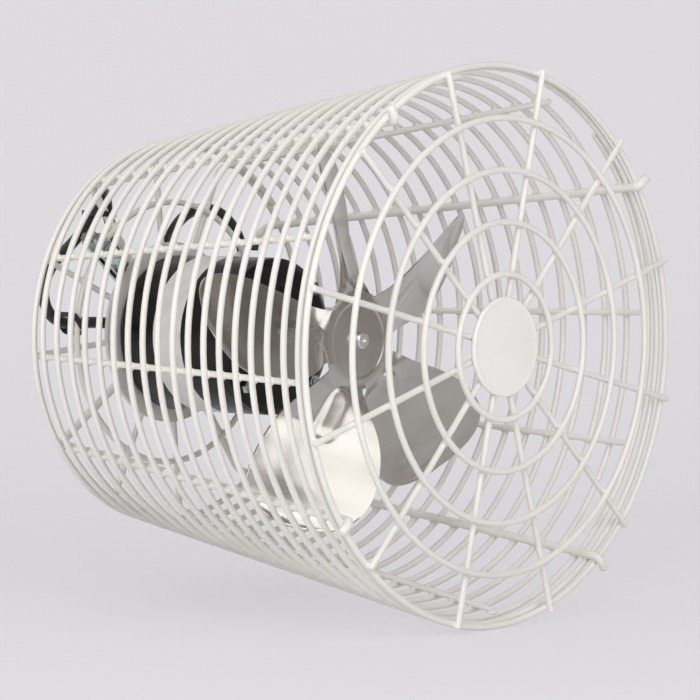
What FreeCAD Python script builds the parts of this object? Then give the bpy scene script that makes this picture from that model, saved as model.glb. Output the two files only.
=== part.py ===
"""Air circulator fan in a deep tapered wire guard, built as separate pieces and written to parts/*.step.

Frame: X to the right seen from the front, Y to the rear, Z up, millimetres.  The fan axis is the Y axis and
the origin is on the seat plane of the four rear studs.
"""
import math
import os

import FreeCAD
import Part
import Sketcher

Vec = FreeCAD.Vector
ALONG_Y = FreeCAD.Rotation(Vec(1, 0, 0), -90)

DIMENSIONS = (
    ("wire_size", 4.8),
    ("hook_wire_size", 6.4),
    ("weld_bite", 0.15),
    ("rim_radius", 206.8),
    ("rear_radius", 150.5),
    ("rim_spacing", 7.6),
    ("rim_to_spiral", 4.68),
    ("spiral_pitch", 18.73),
    ("spiral_turns", 17.0224),
    ("spiral_phase", 50.0),
    ("spiral_to_rear", 4.67),
    ("rear_corner", 6.0),
    ("rod_count", 12),
    ("rod_phase", 5.3),
    ("rod_bend", 8.0),
    ("rod_inner_end", 62.0),
    ("rod_front_gap", 17.0),
    ("hook_reach", 7.0),
    ("hook_bend", 5.45),
    ("rear_inner_ring", 104.0),
    ("grille_inner", 53.6),
    ("grille_step", 38.15),
    ("spoke_phase", 16.6),
    ("spoke_inner_end", 20.0),
    ("badge_radius", 37.0),
    ("badge_thick", 3.6),
    ("backing_radius", 29.0),
    ("backing_thick", 1.6),
    ("motor_radius", 61.5),
    ("plate_margin", 10.5),
    ("plate_radius", "=motor_radius + plate_margin"),
    ("plate_thick", 3.0),
    ("stud_inset", 9.5),
    ("stud_circle", "=motor_radius - stud_inset"),
    ("stud_radius", 3.0),
    ("stud_neck_radius", 2.2),
    ("stud_free_radius", 2.5),
    ("stud_free_length", 12.0),
    ("stud_step", 0.6),
    ("nut_flats", 10.0),
    ("nut_thick", 4.2),
    ("seat_gap", 1.0),
    ("washer_radius", 6.2),
    ("washer_thick", 1.4),
    ("shell_wall", 2.0),
    ("shell_length", 100.0),
    ("rear_bell", 8.4),
    ("front_bell", 9.0),
    ("bell_spigot", 4.0),
    ("bearing_boss", 10.0),
    ("bearing_radius", 9.0),
    ("bearing_length", 18.0),
    ("running_gap", 0.05),
    ("core_length", 50.0),
    ("rotor_radius", 34.0),
    ("air_gap", 0.6),
    ("winding_inset", 10.0),
    ("winding_radius", "=stud_circle - winding_inset"),
    ("winding_size", 6.0),
    ("label_width", 30.0),
    ("label_thick", 0.3),
    ("label_front_gap", 38.0),
    ("shaft_radius", 6.35),
    ("hub_front", 210.4),
    ("shaft_out", 5.5),
    ("shaft_chamfer", 1.0),
    ("blade_tip", 152.4),
    ("blade_thick", 1.5),
    ("blade_phase", 29.0),
    ("blade_count", 5),
    ("blade_bow", 0.06),
    ("hub_disc_radius", 38.5),
    ("boss_radius", 17.4),
    ("boss_length", 36.0),
    ("cord_size", 9.0),
    ("cord_plane", 5.5),
    ("gland_x", 6.0),
    ("gland_z", 25.0),
    ("coil_x", 92.0),
    ("coil_z", -4.0),
    ("coil_start_y", 18.0),
    ("coil_outer", 53.0),
    ("coil_pitch", 9.75),
    ("strap_angle", 138.5),
    ("strap_width", 14.0),
    ("strap_thick", 3.0),
    ("strap_washer_gap", 1.8),
    ("strap_inner", "=stud_circle + washer_radius + strap_washer_gap"),
    ("strap_outer", 120.0),
    ("strap_bolt_inner", 84.0),
    ("strap_bolt_outer", 114.0),
    ("strap_bolt_radius", 3.0),
)

doc = FreeCAD.newDocument("air_circulator")
sheet = doc.addObject("Spreadsheet::Sheet", "dim")
for row, (alias, value) in enumerate(DIMENSIONS, start=1):
    sheet.set(f"A{row}", alias)
    sheet.set(f"B{row}", str(value))
    sheet.setAlias(f"B{row}", alias)
doc.recompute()


def dim(alias):
    """Value of one named cell."""
    return float(getattr(sheet, alias))


def bind(item, **sizes):
    """Tie properties of an object to cells of the sheet."""
    for name, expression in sizes.items():
        item.setExpression(name, expression)
    return item


def polar(radius, angle, y=0.0):
    """Point at a radius and an angle in degrees round the fan axis."""
    turn = math.radians(angle)
    return Vec(radius * math.cos(turn), y, radius * math.sin(turn))


def outward(angle):
    """Turn that points a piece's own Z axis away from the fan axis."""
    return FreeCAD.Rotation(Vec(0, 1, 0), 90 - angle)


def ring(name, radius, section, y):
    """Wire ring round the fan axis; radius and section are sheet expressions."""
    torus = doc.addObject("Part::Torus", name)
    bind(torus, Radius1=radius, Radius2=section)
    torus.Placement = FreeCAD.Placement(Vec(0, y, 0), ALONG_Y)
    return torus


def round_bar(name, radius, length, start, turn=ALONG_Y):
    """Plain cylinder; radius and length are sheet expressions."""
    bar = doc.addObject("Part::Cylinder", name)
    bind(bar, Radius=radius, Height=length)
    bar.Placement = FreeCAD.Placement(start, turn)
    return bar


def hex_bar(name, across_flats, length, start, turn=ALONG_Y):
    """Hexagon bar; sizes are sheet expressions."""
    bar = doc.addObject("Part::Prism", name)
    bar.Polygon = 6
    bind(bar, Circumradius=f"({across_flats}) / sqrt(3)", Height=length)
    bar.Placement = FreeCAD.Placement(start, turn)
    return bar


def group(label, members):
    """One node of several solids."""
    node = doc.addObject("Part::Compound", label)
    node.Links = members
    return named(node, label)


def cut(name, base, tools):
    """Base with every tool taken away."""
    tool = tools[0]
    if len(tools) > 1:
        tool = doc.addObject("Part::Compound", name + "_tools")
        tool.Links = tools
    result = doc.addObject("Part::Cut", name)
    result.Base = base
    result.Tool = tool
    return result


def turned(name, profile):
    """Body of revolution about the fan axis.

    The profile is a closed run of (radius, y) corners, each a sheet expression.
    """
    body = doc.addObject("PartDesign::Body", name + "_body")
    sketch = body.newObject("Sketcher::SketchObject", name + "_profile")
    corners = []
    for radius, y in profile:
        corners.append(Vec(measure(radius), measure(y), 0))
    count = len(corners)
    for index in range(count):
        line = Part.LineSegment(corners[index], corners[(index + 1) % count])
        sketch.addGeometry(line, False)
    for index in range(count):
        link = Sketcher.Constraint("Coincident", index, 2, (index + 1) % count, 1)
        sketch.addConstraint(link)
    for index, (radius, y) in enumerate(profile):
        across = Sketcher.Constraint("DistanceX", -1, 1, index, 1, corners[index].x)
        place = sketch.addConstraint(across)
        sketch.setExpression(f"Constraints[{place}]", radius)
        along = Sketcher.Constraint("DistanceY", -1, 1, index, 1, corners[index].y)
        place = sketch.addConstraint(along)
        sketch.setExpression(f"Constraints[{place}]", y)
    solid = body.newObject("PartDesign::Revolution", name + "_turn")
    solid.Profile = sketch
    solid.ReferenceAxis = (sketch, ["V_Axis"])
    solid.Angle = 360
    return body


def measure(expression):
    """Number that a sheet expression stands for."""
    return float(sheet.evalExpression(expression))


def made(name, shape):
    """Shape that no feature covers, as a document object."""
    item = doc.addObject("Part::Feature", name)
    item.Shape = shape
    return item


nodes = []


def named(item, label):
    """Give an object its node name and list it for writing."""
    item.Label = label
    nodes.append(item)
    return item


def rounded(points, share=0.45):
    """Edges of a route through points, with a tangent arc at each inner point, and the arc radii."""
    edges = []
    radii = []
    at = points[0]
    for before, corner, after in zip(points, points[1:], points[2:]):
        into = (corner - before).normalize()
        away = (after - corner).normalize()
        reach = share * min((corner - before).Length, (after - corner).Length)
        half = into.getAngle(away) / 2
        first = corner - into * reach
        last = corner + away * reach
        middle = arc_middle(first, corner, last)
        edges.append(Part.LineSegment(at, first).toShape())
        edges.append(Part.Arc(first, middle, last).toShape())
        radii.append(reach / math.tan(half))
        at = last
    edges.append(Part.LineSegment(at, points[-1]).toShape())
    return edges, radii


def arc_middle(first, corner, last):
    """Middle of the arc that touches both legs of a corner."""
    chord = (first + last) * 0.5
    rise = corner - chord
    height = rise.Length
    half = (last - first).Length / 2
    return chord + rise * (half * math.tan(math.atan2(height, half) / 2) / height)


def biarcs(stations):
    """Edges of tangent arcs through (point, direction) stations."""
    edges = []
    for (start, leave), (end, arrive) in zip(stations, stations[1:]):
        step = end - start
        lean = step.dot(leave + arrive)
        bend = 2 * (1 - leave.dot(arrive))
        reach = (-lean + math.sqrt(lean * lean + bend * step.dot(step))) / bend
        near = start + leave * reach
        far = end - arrive * reach
        joint = (near + far) * 0.5
        edges.append(Part.Arc(start, arc_middle(start, near, joint), joint).toShape())
        edges.append(Part.Arc(joint, arc_middle(joint, far, end), end).toShape())
    return edges


def tube(edges, radius):
    """Round bar swept along tangent edges."""
    route = Part.Wire(edges)
    start = edges[0].valueAt(edges[0].FirstParameter)
    heading = edges[0].tangentAt(edges[0].FirstParameter)
    section = Part.Wire(Part.makeCircle(radius, start, heading))
    solid = route.makePipeShell([section], True, False)
    expected = math.pi * radius ** 2 * route.Length
    if abs(solid.Volume / expected - 1) > 0.01:
        raise RuntimeError(f"swept volume is off: {solid.Volume:.0f} for {expected:.0f}")
    return solid


def around(shape, angle):
    """Copy of a shape turned round the fan axis, from X towards Z."""
    copy = shape.copy()
    copy.rotate(Vec(0, 0, 0), Vec(0, 1, 0), -angle)
    return copy


# Axial stations, from the seat plane forwards
plate_back = -(dim("washer_thick") + dim("nut_thick") + dim("seat_gap"))
plate_front = plate_back - dim("plate_thick")
wire = dim("wire_size")
hook_wire = dim("hook_wire_size")
bite = dim("weld_bite")
leg_y = plate_back + wire / 2
rear_y = leg_y - dim("rear_corner")
spiral_rear_y = rear_y - dim("spiral_to_rear")
spiral_front_y = spiral_rear_y - dim("spiral_turns") * dim("spiral_pitch")
rim_back_y = spiral_front_y - dim("rim_to_spiral")
rim_front_y = rim_back_y - dim("rim_spacing")
spoke_y = rim_front_y - wire + bite
grille_y = spoke_y - wire + bite
slope = (dim("rim_radius") - dim("rear_radius")) / (rear_y - rim_front_y)
tilt = math.atan(slope)


def guard_radius(y):
    """Centreline radius of the basket rings at a station."""
    return dim("rear_radius") + slope * (rear_y - y)


# Wire basket: rings
RIM_SLOPE = "(dim.rim_radius - dim.rear_radius)"


def basket_ring(name, y):
    """Basket ring whose radius follows the taper."""
    share = (rear_y - y) / (rear_y - rim_front_y)
    return ring(name, f"dim.rear_radius + {RIM_SLOPE} * {share:.6f}", "dim.wire_size / 2", y)


group("basket_rim_rings", [
    basket_ring("rim_ring_front", rim_front_y),
    basket_ring("rim_ring_back", rim_back_y),
])
named(basket_ring("rear_ring", rear_y), "basket_rear_ring")
inner_y = plate_back - wire / 2 + bite
named(ring("inner_ring", "dim.rear_inner_ring", "dim.wire_size / 2", inner_y), "basket_inner_ring")


# Wire basket: one long side wire that winds back along the taper, made a turn at a time
def spiral_point(turns):
    """Point of the side wire after some turns from its front end; it winds clockwise seen from the front."""
    y = spiral_front_y + dim("spiral_pitch") * turns
    return polar(guard_radius(y), dim("spiral_phase") - 360 * turns, y)


def heading_station(curve, turns):
    """Point and direction of a winding curve after some turns."""
    step = 1e-4
    run = curve(turns + step) - curve(turns - step)
    return curve(turns), run.normalize()


whole_turns = int(dim("spiral_turns"))
turn_share = dim("spiral_turns") / whole_turns
spiral = []
for index in range(whole_turns):
    stations = []
    for quarter in range(5):
        stations.append(heading_station(spiral_point, turn_share * (index + quarter / 4)))
    spiral.append(tube(biarcs(stations), wire / 2))
named(made("side_spiral", Part.makeCompound(spiral)), "basket_side_spiral")


# Wire basket: rods that turn in at the back and run to the motor plate
def rod_route(size, front_points):
    """Corner points of one rod in the plane of X and Y, front end first."""
    offset = ((wire + size) / 2 - bite) / math.cos(tilt)
    back = plate_back + size / 2
    corner = Vec(guard_radius(back) - offset, back, 0)
    points = []
    for y in front_points:
        points.append(Vec(guard_radius(y) - offset, y, 0))
    points.append(corner)
    points.append(Vec(dim("rod_inner_end"), back, 0))
    return points


def bent(points, bends):
    """Edges through points with the stated bend radius at each inner point."""
    edges = []
    at = points[0]
    for before, corner, after, radius in zip(points, points[1:], points[2:], bends):
        into = (corner - before).normalize()
        away = (after - corner).normalize()
        reach = radius * math.tan(into.getAngle(away) / 2)
        first = corner - into * reach
        last = corner + away * reach
        edges.append(Part.LineSegment(at, first).toShape())
        edges.append(Part.Arc(first, arc_middle(first, corner, last), last).toShape())
        at = last
    edges.append(Part.LineSegment(at, points[-1]).toShape())
    return edges


plain_rod = tube(bent(rod_route(wire, [rim_front_y + dim("rod_front_gap")]), [dim("rod_bend")]), wire / 2)
hook_y = rim_front_y - wire / 2 - hook_wire / 2 + bite
hook_points = rod_route(hook_wire, [hook_y])
hook_points.insert(0, Vec(dim("rim_radius") + dim("hook_reach"), hook_y, 0))
hook_rod = tube(bent(hook_points, [dim("hook_bend"), dim("rod_bend")]), hook_wire / 2)
plain_rods = []
hook_rods = []
for index in range(int(dim("rod_count"))):
    angle = dim("rod_phase") + index * 360 / dim("rod_count")
    if index % 3 == 1:
        hook_rods.append(around(hook_rod, angle))
    else:
        plain_rods.append(around(plain_rod, angle))
named(made("plain_rods", Part.makeCompound(plain_rods)), "basket_rods")
named(made("hook_rods", Part.makeCompound(hook_rods)), "basket_hook_rods")

# Front grille
grille_rings = []
for index in range(4):
    radius = f"dim.grille_inner + {index} * dim.grille_step"
    grille_rings.append(ring(f"grille_ring_{index + 1}", radius, "dim.wire_size / 2", grille_y))
group("grille_rings", grille_rings)
spokes = []
for index in range(12):
    angle = dim("spoke_phase") + 30 * index
    start = polar(dim("spoke_inner_end"), angle, spoke_y)
    length = "dim.rim_radius + dim.wire_size / 2 - dim.spoke_inner_end"
    spokes.append(round_bar(f"spoke_{index + 1}", "dim.wire_size / 2", length, start, outward(angle)))
group("grille_spokes", spokes)
badge_back = spoke_y - wire / 2
backing_front = spoke_y + wire / 2
badge_disc = round_bar("badge_disc", "dim.badge_radius", "dim.badge_thick",
                       Vec(0, badge_back - dim("badge_thick"), 0))
badge_edge = doc.addObject("Part::Fillet", "badge_edge")
badge_edge.Base = badge_disc
doc.recompute()
front_edges = []
for index, edge in enumerate(badge_disc.Shape.Edges, start=1):
    flat = abs(edge.BoundBox.YMax - edge.BoundBox.YMin) < 1e-6
    if flat and edge.BoundBox.YMax < badge_back - 1:
        front_edges.append((index, 2.0, 2.0))
badge_edge.Edges = front_edges
badge_floor = Vec(0, badge_back - dim("badge_thick") + 1.4, 0)
badge_hole = round_bar("badge_hole", "2.5", "dim.badge_thick - 1.4", badge_floor)
named(cut("badge", badge_edge, [badge_hole]), "centre_badge")
backing_at = Vec(0, backing_front, 0)
backing_disc = round_bar("backing_disc", "dim.backing_radius", "dim.backing_thick", backing_at)
backing_hole = round_bar("backing_hole", "2.5", "dim.backing_thick", backing_at)
named(cut("backing", backing_disc, [backing_hole]), "badge_backing_plate")
screw_top = backing_front + dim("backing_thick")
screw_reach = "dim.badge_thick - 1.4 + dim.wire_size + dim.backing_thick"
screw_shank = round_bar("badge_screw_shank", "2.5", screw_reach, badge_floor)
screw_head = round_bar("badge_screw_head", "4.6", "3", Vec(0, screw_top, 0))
badge_screw = doc.addObject("Part::Fuse", "badge_screw_solid")
badge_screw.Base = screw_shank
badge_screw.Tool = screw_head
named(badge_screw, "badge_screw")

# Motor plate and the four through studs
STUD_ANGLES = (45, 135, 225, 315)


def stud_holes(name, radius, length, y):
    """Four drills on the stud circle."""
    drills = []
    for place, angle in enumerate(STUD_ANGLES, start=1):
        start = polar(dim("stud_circle"), angle, y)
        drills.append(round_bar(f"{name}_{place}", radius, length, start))
    return drills


shell_back = plate_front - dim("rear_bell")
shell_front = shell_back - dim("shell_length")
bell_face = shell_front - dim("front_bell")
plate_disc = round_bar("plate_disc", "dim.plate_radius", "dim.plate_thick", Vec(0, plate_front, 0))
plate_drills = stud_holes("plate_drill", "dim.stud_radius", "dim.plate_thick", plate_front)
named(cut("plate", plate_disc, plate_drills), "motor_plate")
SEAT = "(dim.washer_thick + dim.nut_thick + dim.seat_gap)"
PLATE = f"({SEAT} + dim.plate_thick)"
SHELL_BACK = f"-({PLATE} + dim.rear_bell)"
SHELL_FRONT = f"-({PLATE} + dim.rear_bell + dim.shell_length)"
BELL_FACE = f"-({PLATE} + dim.rear_bell + dim.shell_length + dim.front_bell)"
INNER = "dim.motor_radius - dim.shell_wall"
named(turned("shell", [
    (INNER, SHELL_FRONT),
    ("dim.motor_radius", SHELL_FRONT),
    ("dim.motor_radius", SHELL_BACK),
    (INNER, SHELL_BACK),
]), "motor_shell")
front_bell = turned("front_bell", [
    ("dim.bearing_radius", f"{BELL_FACE} - dim.bearing_boss"),
    ("dim.bearing_radius + 7", f"{BELL_FACE} - dim.bearing_boss"),
    ("dim.bearing_radius + 9", BELL_FACE),
    ("dim.motor_radius - 3", BELL_FACE),
    ("dim.motor_radius - 0.9", f"{BELL_FACE} + 0.9"),
    ("dim.motor_radius", f"{BELL_FACE} + 3"),
    ("dim.motor_radius", SHELL_FRONT),
    (INNER, SHELL_FRONT),
    (INNER, f"{SHELL_FRONT} + dim.bell_spigot"),
    (f"{INNER} - 2", f"{SHELL_FRONT} + dim.bell_spigot"),
    (f"{INNER} - 2", f"{SHELL_FRONT} - 4"),
    ("dim.bearing_radius", f"{SHELL_FRONT} - 4"),
])
front_drills = stud_holes("front_drill", "dim.stud_radius", "dim.front_bell", bell_face)
named(cut("front_bell_cut", front_bell, front_drills), "motor_front_bell")
rear_bell = turned("rear_bell", [
    ("0", f"-{PLATE} - 3"),
    ("0", f"-{PLATE}"),
    ("dim.motor_radius - 6", f"-{PLATE}"),
    ("dim.motor_radius - 1.8", f"-{PLATE} - 1.8"),
    ("dim.motor_radius", f"-{PLATE} - 6"),
    ("dim.motor_radius", SHELL_BACK),
    (INNER, SHELL_BACK),
    (INNER, f"{SHELL_BACK} - dim.bell_spigot"),
    (f"{INNER} - 2", f"{SHELL_BACK} - dim.bell_spigot"),
    (f"{INNER} - 2", f"-{PLATE} - 4"),
    ("dim.bearing_radius + 5", f"-{PLATE} - 4"),
    ("dim.bearing_radius + 4", f"-{PLATE} - 4 - dim.bearing_length"),
    ("dim.bearing_radius", f"-{PLATE} - 4 - dim.bearing_length"),
    ("dim.bearing_radius", f"-{PLATE} - 3"),
])
rear_drills = stud_holes("rear_drill", "dim.stud_radius", "dim.rear_bell", shell_back)
named(cut("rear_bell_cut", rear_bell, rear_drills), "motor_rear_bell")
BORE = "dim.shaft_radius + dim.running_gap"
BUSH_FRONT = f"{BELL_FACE} - dim.bearing_boss + 0.5"
BUSH_REAR = f"-{PLATE} - 4 - dim.bearing_length + 0.5"
for label, start in (("front_bearing", BUSH_FRONT), ("rear_bearing", BUSH_REAR)):
    named(turned(label + "_bush", [
        (BORE, start),
        ("dim.bearing_radius", start),
        ("dim.bearing_radius", f"{start} + dim.bearing_length - 1"),
        (BORE, f"{start} + dim.bearing_length - 1"),
    ]), label)
label_y = shell_front + dim("label_front_gap")
label_at = Vec(0, label_y, 0)
label_outer = round_bar("label_outer", "dim.motor_radius + dim.label_thick", "dim.label_width", label_at)
label_outer.Angle = 210
label_inner = round_bar("label_inner", "dim.motor_radius + 0.03", "dim.label_width", label_at)
label_cut = cut("label_sleeve", label_outer, [label_inner])
label_cut.Placement = FreeCAD.Placement(Vec(0, 0, 0), FreeCAD.Rotation(Vec(0, 1, 0), -275))
named(label_cut, "motor_label")

# Motor insides
core_back = shell_back - (dim("shell_length") - dim("core_length")) / 2
core_front = core_back - dim("core_length")
core_at = Vec(0, core_front, 0)
stator_disc = round_bar("stator_disc", INNER, "dim.core_length", core_at)
stator_bore = round_bar("stator_bore", "dim.rotor_radius + dim.air_gap", "dim.core_length", core_at)
stator_drills = stud_holes("stator_drill", "dim.stud_radius", "dim.core_length", core_front)
named(cut("stator", stator_disc, [stator_bore] + stator_drills), "stator_core")
winding_front = core_front - dim("winding_size")
winding_rear = core_back + dim("winding_size")
named(ring("winding_front", "dim.winding_radius", "dim.winding_size", winding_front), "stator_front_winding")
named(ring("winding_rear", "dim.winding_radius", "dim.winding_size", winding_rear), "stator_rear_winding")

# Studs, washers and nuts
studs = []
washers = []
rear_nuts = []
front_nuts = []
for place, angle in enumerate(STUD_ANGLES, start=1):
    front_end = polar(dim("stud_circle"), angle, bell_face - dim("nut_thick") - 1)
    shank_length = f"-({BELL_FACE}) + dim.nut_thick + 1 - dim.seat_gap"
    shank = round_bar(f"stud_shank_{place}", "dim.stud_radius", shank_length, front_end)
    tip_start = polar(dim("stud_circle"), angle, -dim("stud_step"))
    tip_length = "dim.stud_free_length + dim.stud_step"
    tip = round_bar(f"stud_tip_{place}", "dim.stud_free_radius", tip_length, tip_start)
    neck_start = polar(dim("stud_circle"), angle, -dim("seat_gap"))
    neck_length = "dim.seat_gap - dim.stud_step"
    neck = round_bar(f"stud_neck_{place}", "dim.stud_neck_radius", neck_length, neck_start)
    stud = doc.addObject("Part::MultiFuse", f"stud_{place}")
    stud.Shapes = [shank, neck, tip]
    studs.append(stud)
    washer_start = polar(dim("stud_circle"), angle, plate_back)
    disc = round_bar(f"washer_disc_{place}", "dim.washer_radius", "dim.washer_thick", washer_start)
    hole = round_bar(f"washer_hole_{place}", "dim.stud_radius", "dim.washer_thick", washer_start)
    washers.append(cut(f"washer_{place}", disc, [hole]))
    nut_start = polar(dim("stud_circle"), angle, plate_back + dim("washer_thick"))
    hexagon = hex_bar(f"rear_hex_{place}", "dim.nut_flats", "dim.nut_thick", nut_start)
    hole = round_bar(f"rear_hex_hole_{place}", "dim.stud_radius", "dim.nut_thick", nut_start)
    rear_nuts.append(cut(f"rear_nut_{place}", hexagon, [hole]))
    nut_start = polar(dim("stud_circle"), angle, bell_face - dim("nut_thick"))
    hexagon = hex_bar(f"front_hex_{place}", "dim.nut_flats", "dim.nut_thick", nut_start)
    hole = round_bar(f"front_hex_hole_{place}", "dim.stud_radius", "dim.nut_thick", nut_start)
    front_nuts.append(cut(f"front_nut_{place}", hexagon, [hole]))
group("motor_studs", studs)
group("stud_washers", washers)
group("stud_nuts_rear", rear_nuts)
group("stud_nuts_front", front_nuts)

# Rotor: shaft, core, end rings
hub_face = -dim("hub_front")
disc_back = hub_face + dim("blade_thick")
SHAFT_END = "-dim.hub_front - dim.shaft_out"
named(turned("shaft", [
    ("0", f"{SHAFT_END} + 2.4"),
    ("2", SHAFT_END),
    ("dim.shaft_radius - dim.shaft_chamfer", SHAFT_END),
    ("dim.shaft_radius", f"{SHAFT_END} + dim.shaft_chamfer"),
    ("dim.shaft_radius", f"-{PLATE} - 5"),
    ("0", f"-{PLATE} - 5"),
]), "motor_shaft")
named(turned("rotor", [
    ("dim.shaft_radius", f"{SHELL_BACK} - (dim.shell_length + dim.core_length) / 2"),
    ("dim.rotor_radius", f"{SHELL_BACK} - (dim.shell_length + dim.core_length) / 2"),
    ("dim.rotor_radius", f"{SHELL_BACK} - (dim.shell_length - dim.core_length) / 2"),
    ("dim.shaft_radius", f"{SHELL_BACK} - (dim.shell_length - dim.core_length) / 2"),
]), "rotor_core")
collars = []
for place, start in enumerate((bell_face - dim("bearing_boss") - 6.4, core_front - 5), start=1):
    disc = round_bar(f"collar_disc_{place}", "dim.shaft_radius + 4", "5", Vec(0, start, 0))
    hole = round_bar(f"collar_hole_{place}", "dim.shaft_radius", "5", Vec(0, start, 0))
    collars.append(cut(f"collar_{place}", disc, [hole]))
group("shaft_collars", collars)

# Fan wheel: one stamping with five blades
BLADE_STATIONS = (
    (27.0, 34.0, 0.0, 0.0),
    (34.0, 40.0, 8.0, 0.2),
    (50.0, 52.0, 28.0, 0.8),
    (70.0, 76.5, 36.5, 0.8),
    (94.0, 93.0, 37.0, 1.0),
    (118.0, 97.0, 36.5, 3.7),
    (136.0, 86.0, 36.5, 8.0),
    (146.5, 62.0, 36.5, 10.4),
    (151.6, 26.0, 36.5, 11.4),
)
blade_scale = dim("blade_tip") / 152.4


def blade_section(reach, chord, pitch, set_back):
    """Closed section of one blade, square to its middle line, at a distance from the axis."""
    turn = math.radians(pitch)
    across = Vec(0, -math.sin(turn), math.cos(turn))
    through = Vec(0, math.cos(turn), math.sin(turn))
    disc_middle = disc_back - dim("blade_thick") / 2
    middle = Vec(reach * blade_scale, disc_middle + set_back * blade_scale, 0)
    bow = dim("blade_bow") * chord * blade_scale * min(1.0, max(0.0, (reach - 33.0) / 40.0)) + 0.02
    half = across * (chord * blade_scale / 2)
    skin = through * (dim("blade_thick") / 2)
    front = Part.Arc(middle - half - skin, middle - skin + through * bow, middle + half - skin)
    back = Part.Arc(middle + half + skin, middle + skin + through * bow, middle - half + skin)
    tip = Part.LineSegment(middle + half - skin, middle + half + skin)
    root = Part.LineSegment(middle - half + skin, middle - half - skin)
    return Part.Wire([front.toShape(), tip.toShape(), back.toShape(), root.toShape()])


blade = Part.makeLoft([blade_section(*station) for station in BLADE_STATIONS], True, False)
hub_disc = Part.makeCylinder(dim("hub_disc_radius"), dim("blade_thick"), Vec(0, hub_face, 0), Vec(0, 1, 0))
wheel = hub_disc
for index in range(int(dim("blade_count"))):
    wheel = wheel.fuse(around(blade, dim("blade_phase") + index * 360 / dim("blade_count")))
wheel = wheel.cut(Part.makeCylinder(dim("shaft_radius"), 6, Vec(0, hub_face - 2, 0), Vec(0, 1, 0)))
named(made("wheel", wheel), "fan_blade")
boss = round_bar("boss", "dim.boss_radius", "dim.boss_length", Vec(0, disc_back, 0))
boss_bore = round_bar("boss_bore", "dim.shaft_radius", "dim.boss_length", Vec(0, disc_back, 0))
boss_cuts = [boss_bore]
set_screws = []
for place, angle in enumerate((93, 183), start=1):
    start = polar(dim("shaft_radius"), angle, disc_back + 22)
    boss_cuts.append(round_bar(f"set_drill_{place}", "3", "dim.boss_radius", start, outward(angle)))
    length = "dim.boss_radius - dim.shaft_radius + 1"
    start = polar(dim("shaft_radius") + 0.3, angle, disc_back + 22)
    set_screws.append(round_bar(f"set_screw_{place}", "3", length, start, outward(angle)))
named(cut("boss_cut", boss, boss_cuts), "fan_hub")
group("hub_set_screws", set_screws)

# Zinc strap clamped on the inner rear ring
strap_turn = outward(dim("strap_angle"))


def strap_bar(name, inner, outer, y, thick):
    """Flat bar along the strap's line with both bolt holes."""
    bar = doc.addObject("Part::Box", name + "_bar")
    bind(bar, Length="dim.strap_width", Width=thick, Height=f"{outer} - {inner}")
    side = strap_turn.multVec(Vec(-dim("strap_width") / 2, 0, 0))
    bar.Placement = FreeCAD.Placement(polar(measure(inner), dim("strap_angle"), y) + side, strap_turn)
    holes = []
    for place, reach in enumerate(("strap_bolt_inner", "strap_bolt_outer"), start=1):
        start = polar(dim(reach), dim("strap_angle"), y)
        holes.append(round_bar(f"{name}_hole_{place}", "dim.strap_bolt_radius", thick, start))
    return cut(name + "_cut", bar, holes)


bar_front = inner_y - wire / 2 + bite / 2 - dim("strap_thick")
strap_front = plate_back + 0.1
strap_rear = strap_front + dim("strap_thick")
named(strap_bar("strap", "dim.strap_inner", "dim.strap_outer", strap_front, "dim.strap_thick"), "cord_strap")
short_bar = strap_bar("clamp", "dim.strap_bolt_inner - 8", "dim.strap_outer", bar_front, "dim.strap_thick")
named(short_bar, "strap_clamp_bar")
strap_bolts = []
strap_nuts = []
for place, reach in enumerate(("strap_bolt_inner", "strap_bolt_outer"), start=1):
    start = polar(dim(reach), dim("strap_angle"), bar_front)
    bolt_length = strap_rear + dim("nut_thick") + 0.8 - bar_front
    shank = round_bar(f"strap_shank_{place}", "dim.strap_bolt_radius", f"{bolt_length:.3f}", start)
    head = hex_bar(f"strap_head_{place}", "dim.nut_flats", "4", start - Vec(0, 4, 0))
    bolt = doc.addObject("Part::Fuse", f"strap_bolt_{place}")
    bolt.Base = shank
    bolt.Tool = head
    strap_bolts.append(bolt)
    start = polar(dim(reach), dim("strap_angle"), strap_rear)
    hexagon = hex_bar(f"strap_hex_{place}", "dim.nut_flats", "dim.nut_thick", start)
    hole = round_bar(f"strap_hex_hole_{place}", "dim.strap_bolt_radius", "dim.nut_thick", start)
    strap_nuts.append(cut(f"strap_nut_{place}", hexagon, [hole]))
group("strap_bolts", strap_bolts)
group("strap_nuts", strap_nuts)

# Cord gland on the motor plate
cord = dim("cord_size")
cord_y = dim("cord_plane")
gland_at = Vec(dim("gland_x"), cord_y, dim("gland_z"))
gland_base = Vec(dim("gland_x"), plate_back, dim("gland_z"))
gland_foot = round_bar("gland_foot", "10", f"{cord_y - plate_back:.3f}", gland_base)
gland_ball = doc.addObject("Part::Sphere", "gland_ball")
gland_ball.Radius = 9
gland_ball.Placement.Base = gland_at
gland_neck = doc.addObject("Part::Cone", "gland_neck")
bind(gland_neck, Radius1="8", Radius2="dim.cord_size / 2 + 1.2", Height="23")
gland_neck.Placement.Base = gland_at
gland_cap = round_bar("gland_cap", "9.4", "5", gland_at + Vec(0, 0, 6), FreeCAD.Rotation())
gland = doc.addObject("Part::MultiFuse", "gland")
gland.Shapes = [gland_foot, gland_ball, gland_neck, gland_cap]
named(gland, "cord_gland")

# Cord: the coil, then the free stretch that leads to it
COIL_TURNS = 1.5
coil_pitch = dim("coil_pitch")


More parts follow.
